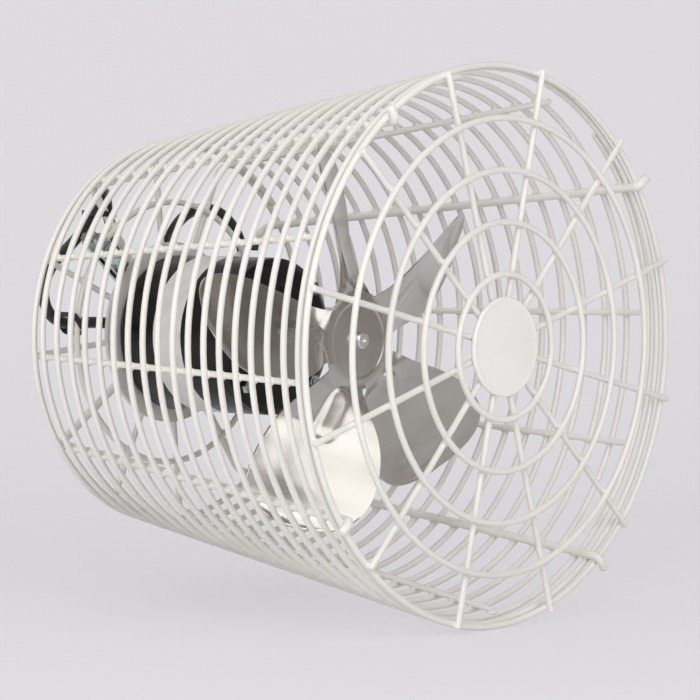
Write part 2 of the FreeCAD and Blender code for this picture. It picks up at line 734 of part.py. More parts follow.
def coil_point(turns):
    """Point of the piled coil: it winds in and out and climbs a layer at each reversal."""
    layer = turns / COIL_TURNS
    fold = abs((layer + 1) % 2 - 1)
    radius = dim("coil_outer") - coil_pitch * COIL_TURNS * fold
    height = 0.0
    for reversal in range(1, 4):
        share = min(1.0, max(0.0, (turns - COIL_TURNS * reversal + 0.25) / 0.5))
        height += share * share * (3 - 2 * share)
    angle = math.radians(180 + 360 * turns)
    return Vec(dim("coil_x") + radius * math.cos(angle), dim("coil_start_y") + coil_pitch * height,
               dim("coil_z") + radius * math.sin(angle))


stations = [heading_station(coil_point, 0.03)]
for quarter in range(1, 24):
    stations.append(heading_station(coil_point, 0.25 * quarter))
top_layer = dim("coil_start_y") + 3 * coil_pitch
plug_y = top_layer + cord / 2 + 10.0
turn_in = Vec(dim("coil_x") - dim("coil_outer") + 3, top_layer + 10.7, dim("coil_z"))
stations.append((turn_in, Vec(0, 0.12, -1).normalize()))
plug_tail = Vec(dim("coil_x") - 20, plug_y, dim("coil_z") - 34)
stations.append((plug_tail, Vec(1, 0, 0)))
coil_edges = biarcs(stations)
named(made("coil", tube(coil_edges, cord / 2)), "cord_coil")

coil_in, coil_heading = stations[0]
ROUTE = [
    gland_at + Vec(0, 0, 23),
    Vec(6, cord_y, 71),
    Vec(33, cord_y, 98),
    Vec(71, cord_y, 98),
    Vec(98, cord_y, 71),
    Vec(98, cord_y, 33),
    Vec(71, cord_y, 6),
    Vec(36, cord_y, 4.5),
    Vec(2, cord_y, 9.5),
    Vec(-32, cord_y, 5.5),
    Vec(-64, cord_y, 9.5),
    Vec(-85, cord_y, 9.8),
    Vec(-109.7, 5.8, 10),
    Vec(-123.1, 6.2, 21.2),
    Vec(-126.1, 6.7, 38.4),
    Vec(-115, 7.2, 57.5),
    Vec(-90, 8.2, 73.5),
    Vec(-67, 9.5, 95),
    Vec(-55, 14, 110),
    Vec(-44.1, 22.4, 113),
    Vec(-34.4, 30, 106),
    Vec(-29, 34, 92),
    Vec(-20, 33, 70),
    Vec(-6, 30, 49),
    Vec(12, 27, 36),
    Vec(29, 22.5, 26),
    coil_in - coil_heading * 20,
    coil_in,
]
cord_edges, cord_radii = rounded(ROUTE)
named(made("cord", tube(cord_edges, cord / 2)), "supply_cord")
coil_radii = [edge.Curve.Radius for edge in coil_edges]
length = (Part.Wire(cord_edges).Length + Part.Wire(coil_edges).Length) / 1000
print(f"cord {length:.2f} m, radii in diameters:", [round(radius / cord, 1) for radius in cord_radii])
print("coil radii", round(min(coil_radii), 1), round(max(coil_radii), 1))


def self_gap(edges, apart):
    """Least clear gap between strands of a tube that are some length apart along it."""
    route = Part.Wire(edges)
    spots = route.discretize(Distance=3.0)
    skip = int(apart / 3.0)
    least = 1e9
    for index, spot in enumerate(spots):
        for other in spots[index + skip:]:
            least = min(least, (spot - other).Length)
    return least - cord


print("coil self gap", round(self_gap(coil_edges, 60), 2))
print("cord self gap", round(self_gap(cord_edges, 60), 2))


# Ties
def band(middle, lateral, depth, axis, half_width, length):
    """Flat tie bent into a rounded rectangle round a bundle, 4.4 wide along its axis."""
    solids = []
    for grow in (1.1, 0.0):
        block = Part.makeBox(2 * (half_width + grow), length + 2 * grow, 4.4,
                             Vec(-half_width - grow, -length / 2 - grow, -2.2))
        upright = [edge for edge in block.Edges if abs(edge.tangentAt(0).z) > 0.9]
        solids.append(block.makeFillet(2.6 + grow, upright))
    loop = solids[0].cut(solids[1])
    loop.Placement = FreeCAD.Placement(middle, FreeCAD.Rotation(lateral, depth, axis, "ZYX"))
    return loop


def crossing_tie(under, under_heading, under_radius, over, over_heading):
    """Tie round a wire of the guard and the cord where they cross."""
    depth = (over - under).normalize()
    if under_heading.dot(over_heading) < 0:
        under_heading = under_heading * -1
    axis = under_heading.normalize() + over_heading.normalize()
    axis = (axis - depth * axis.dot(depth)).normalize()
    lean = under_heading.getAngle(over_heading) / 2
    half_width = (cord / 2) / math.cos(lean) + 2.2 * math.tan(lean) + 0.5
    low = under - depth * (under_radius + 0.4)
    high = over + depth * (cord / 2 + 0.9)
    return band((low + high) * 0.5, depth.cross(axis), depth, axis, half_width, (high - low).Length)


def nearest_cord(point):
    """Point and heading of the cord where it passes closest behind a point of the guard."""
    best = None
    for edge in cord_edges:
        for step in range(21):
            at = edge.FirstParameter + (edge.LastParameter - edge.FirstParameter) * step / 20
            spot = edge.valueAt(at)
            gap = math.hypot(spot.x - point.x, spot.z - point.z)
            if spot.y < 16 and (best is None or gap < best[0]):
                best = (gap, spot, edge.tangentAt(at))
    return best[1], best[2]


ties = []
inner_spot = polar(dim("rear_inner_ring"), 174.5, inner_y)
spot, heading = nearest_cord(inner_spot)
ties.append(crossing_tie(inner_spot, polar(1, 264.5), wire / 2, spot, heading))
for reach, angle, size in ((116.5, 125.3, hook_wire), (117.5, 35.3, hook_wire)):
    leg_spot = polar(reach, angle, plate_back + size / 2)
    spot, heading = nearest_cord(leg_spot)
    ties.append(crossing_tie(leg_spot, polar(1, angle), size / 2, spot, heading))
named(made("ties", Part.makeCompound(ties)), "cable_ties")
tie_angle = 35.3
tie_axis = polar(1, tie_angle)
tie_side = polar(1, tie_angle + 90)
tie_low = plate_back - 0.6
tie_high = top_layer + cord / 2 + 2.6
coil_side = tie_side.dot(Vec(dim("coil_x"), 0, dim("coil_z"))) - 1.6
tie_in = coil_side + dim("coil_outer") - COIL_TURNS * coil_pitch - cord / 2 - 1.0
tie_out = 4.6
tie_middle = polar(79, tie_angle, (tie_low + tie_high) / 2) + tie_side * ((tie_in + tie_out) / 2)
coil_tie = band(tie_middle, Vec(0, 1, 0).cross(tie_axis), Vec(0, 1, 0), tie_axis, (tie_out - tie_in) / 2,
                tie_high - tie_low)
named(made("coil_band", coil_tie), "coil_tie")

# Plug
plug_boot = doc.addObject("Part::Cone", "plug_boot")
bind(plug_boot, Radius1="dim.cord_size / 2 + 0.8", Radius2="8", Height="22")
plug_boot.Placement = FreeCAD.Placement(plug_tail, FreeCAD.Rotation(Vec(0, 1, 0), 90))
block = doc.addObject("Part::Box", "plug_block")
block.Length = 28
block.Width = 19
block.Height = 26
block.Placement.Base = plug_tail + Vec(20, -9.5, -13)
plug_solid = doc.addObject("Part::Fuse", "plug_solid")
plug_round = doc.addObject("Part::Fillet", "plug_round")
plug_round.Base = block
plug_round.Edges = [(place, 4.0, 4.0) for place in range(1, 13)]
plug_solid.Base = plug_boot
plug_solid.Tool = plug_round
named(plug_solid, "plug_body")
plug_face = plug_tail + Vec(48, 0, 0)
pins = []
for place, z in enumerate((-6.35, 6.35), start=1):
    pin = doc.addObject("Part::Box", f"flat_pin_{place}")
    pin.Length = 17.5
    pin.Width = 6.3
    pin.Height = 1.5
    pin.Placement.Base = plug_face + Vec(0, -0.5, z - 0.75)
    pins.append(pin)
pin_turn = FreeCAD.Rotation(Vec(0, 1, 0), 90)
pins.append(round_bar("round_pin", "2.4", "19", plug_face + Vec(0, -6, 0), pin_turn))
group("plug_pins", pins)

doc.recompute()
for item in doc.Objects:
    if "Invalid" in item.State or "Error" in item.State:
        raise RuntimeError(f"{item.Name} did not build: {item.State}")
os.makedirs("parts", exist_ok=True)
for node in nodes:
    shape = node.Shape
    if shape.isNull() or not shape.isValid():
        raise RuntimeError(f"{node.Label} has no valid shape")
    shape.exportStep(f"parts/{node.Label}.step")
    box = shape.BoundBox
    print(f"{node.Label}: {len(shape.Solids)} solids, {shape.Volume / 1000:.2f} cm3, "
          f"y {box.YMin:.1f} to {box.YMax:.1f}")
print(len(nodes), "nodes")
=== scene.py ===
"""Air circulator fan in a deep wire guard: the finished look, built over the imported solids.

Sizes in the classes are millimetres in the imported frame: X to the right seen from the front, Y to the
rear along the fan axis, Z up.  Meshes are written in metres.
"""

import logging
import math
from dataclasses import dataclass, field
from enum import Enum

import bpy
import numpy as np
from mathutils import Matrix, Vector


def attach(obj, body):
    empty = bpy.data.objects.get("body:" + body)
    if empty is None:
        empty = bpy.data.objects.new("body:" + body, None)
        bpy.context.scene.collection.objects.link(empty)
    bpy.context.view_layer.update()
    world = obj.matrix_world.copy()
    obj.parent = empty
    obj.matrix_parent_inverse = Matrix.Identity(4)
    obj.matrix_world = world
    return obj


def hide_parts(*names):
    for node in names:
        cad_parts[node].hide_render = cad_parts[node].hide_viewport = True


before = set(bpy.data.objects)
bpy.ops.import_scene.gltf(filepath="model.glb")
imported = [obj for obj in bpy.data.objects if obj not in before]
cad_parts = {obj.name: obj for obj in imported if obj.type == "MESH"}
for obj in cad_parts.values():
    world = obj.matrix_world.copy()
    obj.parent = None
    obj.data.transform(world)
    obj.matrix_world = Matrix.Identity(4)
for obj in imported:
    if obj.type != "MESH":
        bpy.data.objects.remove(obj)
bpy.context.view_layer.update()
MM = 0.001
GUARD = "guard_and_motor"
ROTOR = "fan_rotor"
Grid = tuple[np.ndarray, np.ndarray, np.ndarray]
Place = tuple[float, float, float]
Colour = tuple[float, float, float]
Pair = tuple[float, float]
Profile = tuple[Pair, ...]
Noise = Pair | tuple[float, float, Colour]
Settings = tuple[tuple[str, float], ...]
Socket = bpy.types.NodeSocket
Feed = Socket | float | tuple[float, ...]
NO_TRIS = np.zeros((0, 3), dtype=int)
UPRIGHT = np.array((0.0, 0.0, 1.0))
# Samples of a smooth curve for each one that is kept
CURVE_FINENESS = 12
# Butt weld of a ring: swell as a share of the wire's radius, and half length in millimetres
BUTT_SWELL = 0.07
BUTT_LENGTH = 3.0
# Rows of points on the domed end of a wire
DOME_ROWS = 3
# Longest leg of a fillet as a share of the shorter run
FILLET_SHARE = 0.45
log = logging.getLogger("air_circulator")


class WireEnd(Enum):
    """How the end of a swept wire is shaped: the length of its dome as a share of the radius."""

    ROUNDED = 0.30
    CROPPED = 0.18


class Wrap(Enum):
    """Which directions of a grid join up with themselves."""

    NONE = (False, False)
    COLUMNS = (False, True)
    BOTH = (True, True)


def grid_quads(rows: int, columns: int, wrap: Wrap) -> np.ndarray:
    """Corner numbers of the four-sided faces of a grid whose points are stored row by row.

    Args:
        rows: number of rows of points.
        columns: number of points in a row.
        wrap: directions in which the last line joins the first.

    Returns:
        Array of faces, four corner numbers each.
    """
    row = np.arange(rows if wrap.value[0] else rows - 1)[:, None]
    column = np.arange(columns if wrap.value[1] else columns - 1)[None, :]
    next_row = (row + 1) % rows
    next_column = (column + 1) % columns
    corners = (row * columns + column, row * columns + next_column,
               next_row * columns + next_column, next_row * columns + column)
    return np.stack(corners, axis=-1).reshape(-1, 4)


def looped_grid(points: np.ndarray) -> Grid:
    """Surface whose rows and columns of points both join up with themselves."""
    return points.reshape(-1, 3), grid_quads(*points.shape[:2], Wrap.BOTH), NO_TRIS


def capped_grid(points: np.ndarray, poles: np.ndarray) -> Grid:
    """Surface whose rows of points run round, closed onto two poles by fans of triangles.

    Args:
        points: rows of points, from the first pole to the last.
        poles: the two end points, which are stored after the rows.

    Returns:
        Points, quads and triangles.
    """
    rows, columns = points.shape[:2]
    here = np.arange(columns)
    there = (here + 1) % columns
    base, pole = (rows - 1) * columns, rows * columns
    first = np.stack((np.full(columns, pole), there, here), axis=-1)
    last = np.stack((np.full(columns, pole + 1), base + here, base + there), axis=-1)
    quads = grid_quads(rows, columns, Wrap.COLUMNS)
    return np.concatenate((points.reshape(-1, 3), poles)), quads, np.concatenate((first, last))


def smooth_curve(points: np.ndarray, count: int) -> np.ndarray:
    """Even samples of the cubic curve that passes through every point with the neighbours' slope.

    Args:
        points: points to pass through, one per row.
        count: number of samples.

    Returns:
        Samples spaced evenly by length.
    """
    last = len(points) - 1
    at = np.linspace(0, last, count * CURVE_FINENESS)
    base = np.minimum(at.astype(int), last - 1)
    part = (at - base)[:, None]
    before, start, end, after = (points[np.clip(base + step, 0, last)] for step in (-1, 0, 1, 2))
    curve = 0.5 * (2 * start + (end - before) * part + (2 * before - 5 * start + 4 * end - after) * part ** 2
                   + (3 * start - before - 3 * end + after) * part ** 3)
    run = np.concatenate(([0.0], np.cumsum(np.linalg.norm(np.diff(curve, axis=0), axis=1))))
    wanted = np.linspace(0, run[-1], count)
    return np.stack([np.interp(wanted, run, curve[:, axis]) for axis in range(points.shape[1])], axis=-1)


def ring_grid(radius: float, section: float, y: float, joint: float, around: int = 168,
              sides: int = 12) -> Grid:
    """Wire ring round the fan axis.

    Formula: a circle of the section's radius is carried round the axis; at the joint angle the section
    swells by a bell curve, where the ends of the wire were butt welded.

    Args:
        radius: centreline radius.
        section: wire radius.
        y: station along the axis.
        joint: angle in degrees of the butt weld.
        around: steps round the axis.
        sides: steps round the wire.

    Returns:
        Points, quads and triangles.
    """
    turn = np.linspace(0, 2 * np.pi, around, endpoint=False)[:, None]
    lap = np.linspace(0, 2 * np.pi, sides, endpoint=False)[None, :]
    off = (turn - math.radians(joint) + np.pi) % (2 * np.pi) - np.pi
    swell = section * (1 + BUTT_SWELL * np.exp(-(off * radius / BUTT_LENGTH) ** 2))
    reach = radius + swell * np.cos(lap)
    points = np.stack((reach * np.cos(turn), y + swell * np.sin(lap), reach * np.sin(turn)), axis=-1)
    return looped_grid(points)


def swept_grid(path: np.ndarray, upright: np.ndarray, section: float, end: WireEnd, sides: int = 12) -> Grid:
    """Round wire along a path.

    Formula: at every path point a circle lies square to the path, set out from the part of the upright
    that is square to it; at both ends the circle shrinks as a cosine while it moves on as a sine, which
    makes a dome.

    Args:
        path: points, one per row.
        upright: direction that is never along the path, one for all points or one per row.
        section: wire radius.
        end: shape of the two ends.
        sides: steps round the wire.

    Returns:
        Points, quads and triangles.
    """
    heading = np.gradient(path, axis=0)
    heading /= np.linalg.norm(heading, axis=1)[:, None]
    normal = upright - (upright * heading).sum(axis=1)[:, None] * heading
    normal /= np.linalg.norm(normal, axis=1)[:, None]
    lateral = np.cross(heading, normal)
    dome = np.linspace(0, np.pi / 2, DOME_ROWS + 2)[1:-1]
    cap = section * end.value
    poles = np.array((path[0] - heading[0] * cap, path[-1] + heading[-1] * cap))
    lead = path[0] + (poles[0] - path[0]) * np.sin(dome[::-1])[:, None]
    tail = path[-1] + (poles[1] - path[-1]) * np.sin(dome)[:, None]
    line = np.concatenate((lead, path, tail))
    size = section * np.concatenate((np.cos(dome[::-1]), np.ones(len(path)), np.cos(dome)))
    here = np.clip(np.arange(len(line)) - len(dome), 0, len(path) - 1)
    lap = np.linspace(0, 2 * np.pi, sides, endpoint=False)
    points = (line[:, None] + normal[here][:, None] * (size[:, None] * np.cos(lap))[..., None]
              + lateral[here][:, None] * (size[:, None] * np.sin(lap))[..., None])
    return capped_grid(points, poles)


def turned_grid(profile: np.ndarray, around: int = 128) -> Grid:
    """Body of revolution about the fan axis.

    Formula: every profile point (radius, y) runs once round the axis; a profile that starts and ends on
    the axis is closed by two poles, any other profile is a closed loop.

    Args:
        profile: points (radius, y), one per row.
        around: steps round the axis.

    Returns:
        Points, quads and triangles.
    """
    turn = np.linspace(0, 2 * np.pi, around, endpoint=False)[None, :]
    solid = bool(profile[0, 0] == 0 and profile[-1, 0] == 0)
    rim = profile[1:-1] if solid else profile
    radius = rim[:, :1]
    points = np.stack((radius * np.cos(turn), rim[:, 1:] + 0 * turn, radius * np.sin(turn)), axis=-1)
    if not solid:
        return looped_grid(points)
    return capped_grid(points, np.array(((0, profile[0, 1], 0), (0, profile[-1, 1], 0))))


def bead_grid(size: Place, around: int = 7, rows: int = 4) -> Grid:
    """Weld bead: an ellipsoid, with latitude and longitude as the two parameters.

    Args:
        size: half lengths along the three local axes.
        around: steps of longitude.
        rows: rows of latitude between the poles.

    Returns:
        Points, quads and triangles about the origin.
    """
    rise = np.linspace(-np.pi / 2, np.pi / 2, rows + 2)[1:-1, None]
    turn = np.linspace(0, 2 * np.pi, around, endpoint=False)[None, :]
    level = np.cos(rise)
    ball = np.stack((level * np.cos(turn), np.sin(rise) + 0 * turn, level * np.sin(turn)), axis=-1)
    return capped_grid(ball * size, np.array(((0, -1, 0), (0, 1, 0))) * size)


def bent_path(corners: np.ndarray, bends: tuple[float, ...], steps: int = 10,
              pitch: float = 9.0) -> np.ndarray:
    """Straight runs with a round bend at every inner corner.

    Formula: a bend of radius b between runs that turn by an angle a starts b tan(a / 2) before the
    corner, and its points lie on the circle that touches both runs.

    Args:
        corners: corner points, one per row.
        bends: bend radius at each inner corner.
        steps: points on each bend.
        pitch: spacing of points on the straight runs.

    Returns:
        Points of the path.
    """
    pieces = []
    at = corners[0]
    for corner, before, after, bend in zip(corners[1:], corners, corners[2:], bends):
        into = (corner - before) / np.linalg.norm(corner - before)
        away = (after - corner) / np.linalg.norm(after - corner)
        angle = math.acos(float(np.clip(into @ away, -1, 1)))
        first = corner - into * bend * math.tan(angle / 2)
        centre_way = away - into * math.cos(angle)
        centre = first + centre_way / np.linalg.norm(centre_way) * bend
        sweep = np.linspace(0, angle, steps)[:, None]
        arm = first - centre
        pieces.append(straight_run(at, first, pitch)[:-1])
        pieces.append(centre + arm * np.cos(sweep) + into * bend * np.sin(sweep))
        at = pieces[-1][-1]
        pieces[-1] = pieces[-1][:-1]
    pieces.append(straight_run(at, corners[-1], pitch))
    return np.concatenate(pieces)


def soft_step(value: np.ndarray) -> np.ndarray:
    """Smooth rise from 0 to 1 with the value, level at both ends: three squares less two cubes."""
    share = np.clip(value, 0, 1)
    return share ** 2 * (3 - 2 * share)


def straight_run(start: np.ndarray, end: np.ndarray, pitch: float) -> np.ndarray:
    """Even points from start to end, about a pitch apart."""
    count = max(2, int(np.linalg.norm(end - start) / pitch) + 1)
    return start + (end - start) * np.linspace(0, 1, count)[:, None]


def round_axis(points: np.ndarray, angle: float) -> np.ndarray:
    """Local points (outward, along, round) placed at an angle in degrees round the fan axis."""
    cos, sin = math.cos(math.radians(angle)), math.sin(math.radians(angle))
    out, along, lateral = points[:, 0], points[:, 1], points[:, 2]
    return np.stack((out * cos - lateral * sin, along, out * sin + lateral * cos), axis=-1)


def filleted(profile: Profile, fillet: float, steps: int = 4) -> np.ndarray:
    """Profile with its inner corners rounded; the first and last point stay.

    Formula: each corner gives the points of a quadratic curve whose legs reach the fillet length, or
    under half of the shorter run.

    Args:
        profile: corner points (radius, y).
        fillet: length of each rounding along the runs.
        steps: points on each rounding.

    Returns:
        Points of the rounded profile.
    """
    corners = np.array(profile, dtype=float)
    before, corner, after = corners[:-2], corners[1:-1], corners[2:]
    back, ahead = before - corner, after - corner
    back_run = np.linalg.norm(back, axis=1)[:, None]
    ahead_run = np.linalg.norm(ahead, axis=1)[:, None]
    reach = np.minimum(fillet, FILLET_SHARE * np.minimum(back_run, ahead_run))
    first, last = corner + back / back_run * reach, corner + ahead / ahead_run * reach
    at = np.linspace(0, 1, steps)[None, :, None]
    curve = first[:, None] * (1 - at) ** 2 + 2 * corner[:, None] * at * (1 - at) + last[:, None] * at ** 2
    return np.concatenate((corners[:1], curve.reshape(-1, 2), corners[-1:]))


def linked(name: str, data: bpy.types.ID) -> bpy.types.Object:
    """New object of the scene, with its mesh, curve, lamp or camera."""
    item = bpy.data.objects.new(name, data)
    bpy.context.scene.collection.objects.link(item)
    return item


def aimed(name: str, data: bpy.types.ID, place: Place, target: Place) -> bpy.types.Object:
    """New lamp or camera at a place, turned without roll to a target, both in millimetres."""
    item = linked(name, data)
    item.location = Vector(place) * MM
    item.rotation_euler = (Vector(target) - Vector(place)).to_track_quat("-Z", "Y").to_euler()
    return item


@dataclass
class Skin:
    """Points and faces of one piece, gathered from closed grid surfaces."""

    grids: list[Grid] = field(default_factory=list)
    count: int = 0

    def add(self, grid: Grid) -> "Skin":
        """Add one closed surface, turned so that its faces point outwards.

        The signed volume is the sum over triangles of the triple product of their corners; where it is
        negative, the faces are reversed.

        Args:
            grid: points, quads and triangles.

        Returns:
            This skin.
        """
        points, quads, tris = grid
        faces = np.concatenate((quads[:, :3], quads[:, [0, 2, 3]], tris))
        a, b, c = (points[faces[:, corner]] for corner in range(3))
        if np.einsum("ij,ij->i", a, np.cross(b, c)).sum() < 0:
            quads, tris = quads[:, ::-1], tris[:, ::-1]
        self.grids.append((points, quads + self.count, tris + self.count))
        self.count += len(points)
        return self

    def add_at(self, grid: Grid, angle: float, spot: Place = (0.0, 0.0, 0.0)) -> None:
        """Add a local surface, moved to a spot (outward, along, round) at an angle in degrees."""
        points, quads, tris = grid
        self.add((round_axis(points + np.array(spot), angle), quads, tris))

    def make(self, name: str, finish: "Finish", *nodes: str, body: str = GUARD,
             crease: float = 40.0) -> None:
        """Write the mesh, dress it and let it ride on its body.

        Args:
            name: piece name.
            finish: surface finish.
            nodes: solids that the piece stands for.
            body: body that carries the piece.
            crease: angle in degrees above which an edge stays sharp.
        """
        points, quads, tris = (np.concatenate(group) for group in zip(*self.grids))
        corners = np.concatenate((quads.ravel(), tris.ravel()))
        sizes = np.concatenate((np.full(len(quads), 4), np.full(len(tris), 3)))
        mesh = bpy.data.meshes.new(name)
        mesh.vertices.add(len(points))
        mesh.vertices.foreach_set("co", (points * MM).ravel())
        mesh.loops.add(len(corners))
        mesh.loops.foreach_set("vertex_index", corners)
        mesh.polygons.add(len(sizes))
        mesh.polygons.foreach_set("loop_start", np.concatenate(([0], np.cumsum(sizes)[:-1])))
        mesh.polygons.foreach_set("use_smooth", np.ones(len(sizes), dtype=bool))
        mesh.update(calc_edges=True)
        mesh.validate()
        mesh.set_sharp_from_angle(angle=math.radians(crease))
        piece = linked(name, mesh)
        mesh.materials.append(finish.material())
        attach(piece, body)
        if nodes:
            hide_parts(*nodes)
        log.info("%s: %d points, %d faces", name, len(points), len(sizes))


def feed(tree: bpy.types.NodeTree, end: Socket, value: Feed) -> None:
    """Join an input to a socket, or set it to a value."""
    if isinstance(value, Socket):
        tree.links.new(value, end)
    else:
        end.default_value = value


def new_node(tree: bpy.types.NodeTree, kind: str, inputs: dict[str | int, Feed],
             operation: str | None = None) -> bpy.types.Node:
    """New shader node with its inputs joined or set.

    Args:
        tree: tree that gets the node.
        kind: name of its kind, without the words that all kinds start with.
        inputs: socket or value for each input, by name or number.
        operation: what a node for sums does.

    Returns:
        The node.
    """
    node = tree.nodes.new(f"ShaderNode{kind}")
    if operation:
        node.operation = operation
    for name, value in inputs.items():
        feed(tree, node.inputs[name], value)
    return node


class Shading:
    """Node tree of one finish, with short calls for the textures that it uses."""

    def __init__(self, name: str) -> None:
        """Start a material with a principled shader."""
        self.material = bpy.data.materials.new(name)
        self.material.use_nodes = True
        self.tree = self.material.node_tree
        self.place = new_node(self.tree, "TexCoord", {}).outputs["Object"]

    def surface(self, **inputs: Feed) -> None:
        """Join or set inputs of the shader; a name's underscores stand for spaces."""
        shader = self.tree.nodes["Principled BSDF"]
        for name, value in inputs.items():
            feed(self.tree, shader.inputs[name.replace("_", " ")], value)

    def noise(self, scale: float, detail: float = 3.0, stretch: Colour | None = None) -> Socket:
        """Cloudy noise.

        Args:
            scale: features per metre.
            detail: octaves.
            stretch: factor on each axis, or None.

        Returns:
            Value between 0 and 1.
        """
        place = self.place
        if stretch:
            place = new_node(self.tree, "Mapping", {"Vector": place, "Scale": stretch}).outputs["Vector"]
        inputs = {"Vector": place, "Scale": scale, "Detail": detail}
        return new_node(self.tree, "TexNoise", inputs).outputs["Fac"]

    def cells(self, scale: float) -> Socket:
        """Random grey of each crystal of a number of crystals per metre."""
        crystals = new_node(self.tree, "TexVoronoi", {"Vector": self.place, "Scale": scale})
        return new_node(self.tree, "SeparateColor", {"Color": crystals.outputs["Color"]}).outputs["Red"]

    def spread(self, value: Socket, span: Pair, onto: Pair) -> Socket:
        """Map a value's range onto another range."""
        node = new_node(self.tree, "MapRange", {"Value": value})
        for name, number in zip(("From Min", "From Max", "To Min", "To Max"), (*span, *onto)):
            node.inputs[name].default_value = number
        return node.outputs["Result"]

    def tint(self, value: Socket, span: Pair, tones: tuple[Colour, Colour]) -> Socket:
        """Map a value's range onto the colours between two tones."""
        node = new_node(self.tree, "ValToRGB", {"Fac": value})
        for stop, position, tone in zip(node.color_ramp.elements, span, tones):
            stop.position = position
            stop.color = (*tone, 1.0)
        return node.outputs["Color"]

    def added(self, first: Socket, second: Socket, share: float) -> Socket:
        """First value plus a share of the second."""
        return new_node(self.tree, "Math", {0: second, 1: share, 2: first}, "MULTIPLY_ADD").outputs[0]

    def relief(self, height: Socket, depth: float, strength: float) -> None:
        """Bump from a height, with its depth in millimetres."""
        inputs = {"Strength": strength, "Distance": depth * MM, "Height": height}
        self.surface(Normal=new_node(self.tree, "Bump", inputs).outputs["Normal"])


@dataclass(frozen=True)
class Finish:
    """Surface finish: patches in tone and gloss over a grain; as it stands, moulded plastic or rubber.

    A noise is given as features per metre, octaves and, where it is stretched, a factor on each axis.
    Tone and gloss change over a span of the noise; the grain's depth is in millimetres.
    """

    name: str
    slot: str
    dark: Colour
    light: Colour
    patches: Noise = (70.0, 4.0)
    tone_span: Pair = (0.3, 0.7)
    gloss_span: Pair = (0.3, 0.7)
    rough: Pair = (0.42, 0.60)
    grain: Noise = (1400.0, 2.0)
    depth: float = 0.05
    strength: float = 0.4
    shader: Settings = ()

    def material(self) -> bpy.types.Material:
        """The finish's material, made on first use."""
        ready = bpy.data.materials.get(self.name)
        if ready is not None:
            return ready
        shading = Shading(self.name)
        tone, gloss = self.layers(shading, shading.noise(*self.patches))
        shading.surface(Base_Color=shading.tint(tone, self.tone_span, (self.dark, self.light)),
                        Roughness=shading.spread(gloss, self.gloss_span, self.rough), **dict(self.shader))
        shading.relief(shading.noise(*self.grain), self.depth, self.strength)
        return shading.material

    def layers(self, shading: Shading, patches: Socket) -> tuple[Socket, Socket]:
        """Values that tone and gloss follow: the patches alone."""
        return patches, patches


@dataclass(frozen=True)
class PowderCoat(Finish):
    """Baked powder coat: slow changes of tone, soft gloss and faint orange peel."""

    patches: Noise = (14.0, 4.0)
    fine: Noise = (260.0, 2.0)
    fine_share: float = 0.12
    tone_span: Pair = (0.34, 0.74)
    rough: Pair = (0.30, 0.42)
    grain: Noise = (900.0, 2.0)
    depth: float = 0.10
    strength: float = 0.35
    shader: Settings = (("Coat_Weight", 0.25), ("Coat_Roughness", 0.18))

    def layers(self, shading: Shading, patches: Socket) -> tuple[Socket, Socket]:
        """Patches and a share of fine noise for the tone, the fine noise alone for the gloss."""
        fine = shading.noise(*self.fine)
        return shading.added(patches, fine, self.fine_share), fine


@dataclass(frozen=True)
class SheetMetal(Finish):
    """Bright rolled or turned metal: soft haze over fine lines, which are a stretched noise."""

    patches: Noise = (26.0, 3.0)
    line_shares: Pair = (0.4, 0.6)
    tone_span: Pair = (0.4, 0.95)
    gloss_span: Pair = (0.5, 1.1)
    rough: Pair = (0.16, 0.30)
    grain: Noise = (1.0, 5.0, (60.0, 60.0, 900.0))
    depth: float = 0.03
    strength: float = 0.25
    shader: Settings = (("Metallic", 1.0),)

    def layers(self, shading: Shading, patches: Socket) -> tuple[Socket, Socket]:
        """Haze and a share of the lines for each."""
        lines = shading.noise(*self.grain)
        tone, gloss = (shading.added(patches, lines, share) for share in self.line_shares)
        return tone, gloss


@dataclass(frozen=True)
class Plating(Finish):
    """Plated or oiled metal: small crystals in tone and gloss over a hazy metal."""

    patches: Noise = (120.0, 4.0)
    crystals: float = 1100.0
    crystal_share: float = 0.14
    tone_span: Pair = (0.35, 0.80)
    gloss_span: Pair = (0.35, 0.80)
    rough: Pair = (0.09, 0.20)
    grain: Noise = (1500.0, 2.0)
    depth: float = 0.02
    strength: float = 0.3
    shader: Settings = (("Metallic", 1.0),)

    def layers(self, shading: Shading, patches: Socket) -> tuple[Socket, Socket]:
        """Haze and a share of the crystals for both."""
        tone = shading.added(patches, shading.cells(self.crystals), self.crystal_share)
        return tone, tone


@dataclass(frozen=True)
class Enamel(Finish):
    """Stoving enamel on a motor: deep colour with thin dust, wet gloss and faint orange peel."""

    patches: Noise = (40.0, 6.0)
    tone_span: Pair = (0.45, 0.80)
    rough: Pair = (0.24, 0.40)
    grain: Noise = (600.0, 2.0)
    depth: float = 0.08
    strength: float = 0.3
    shader: Settings = (("Specular_IOR_Level", 0.25), ("Coat_Weight", 0.12), ("Coat_Roughness", 0.10))


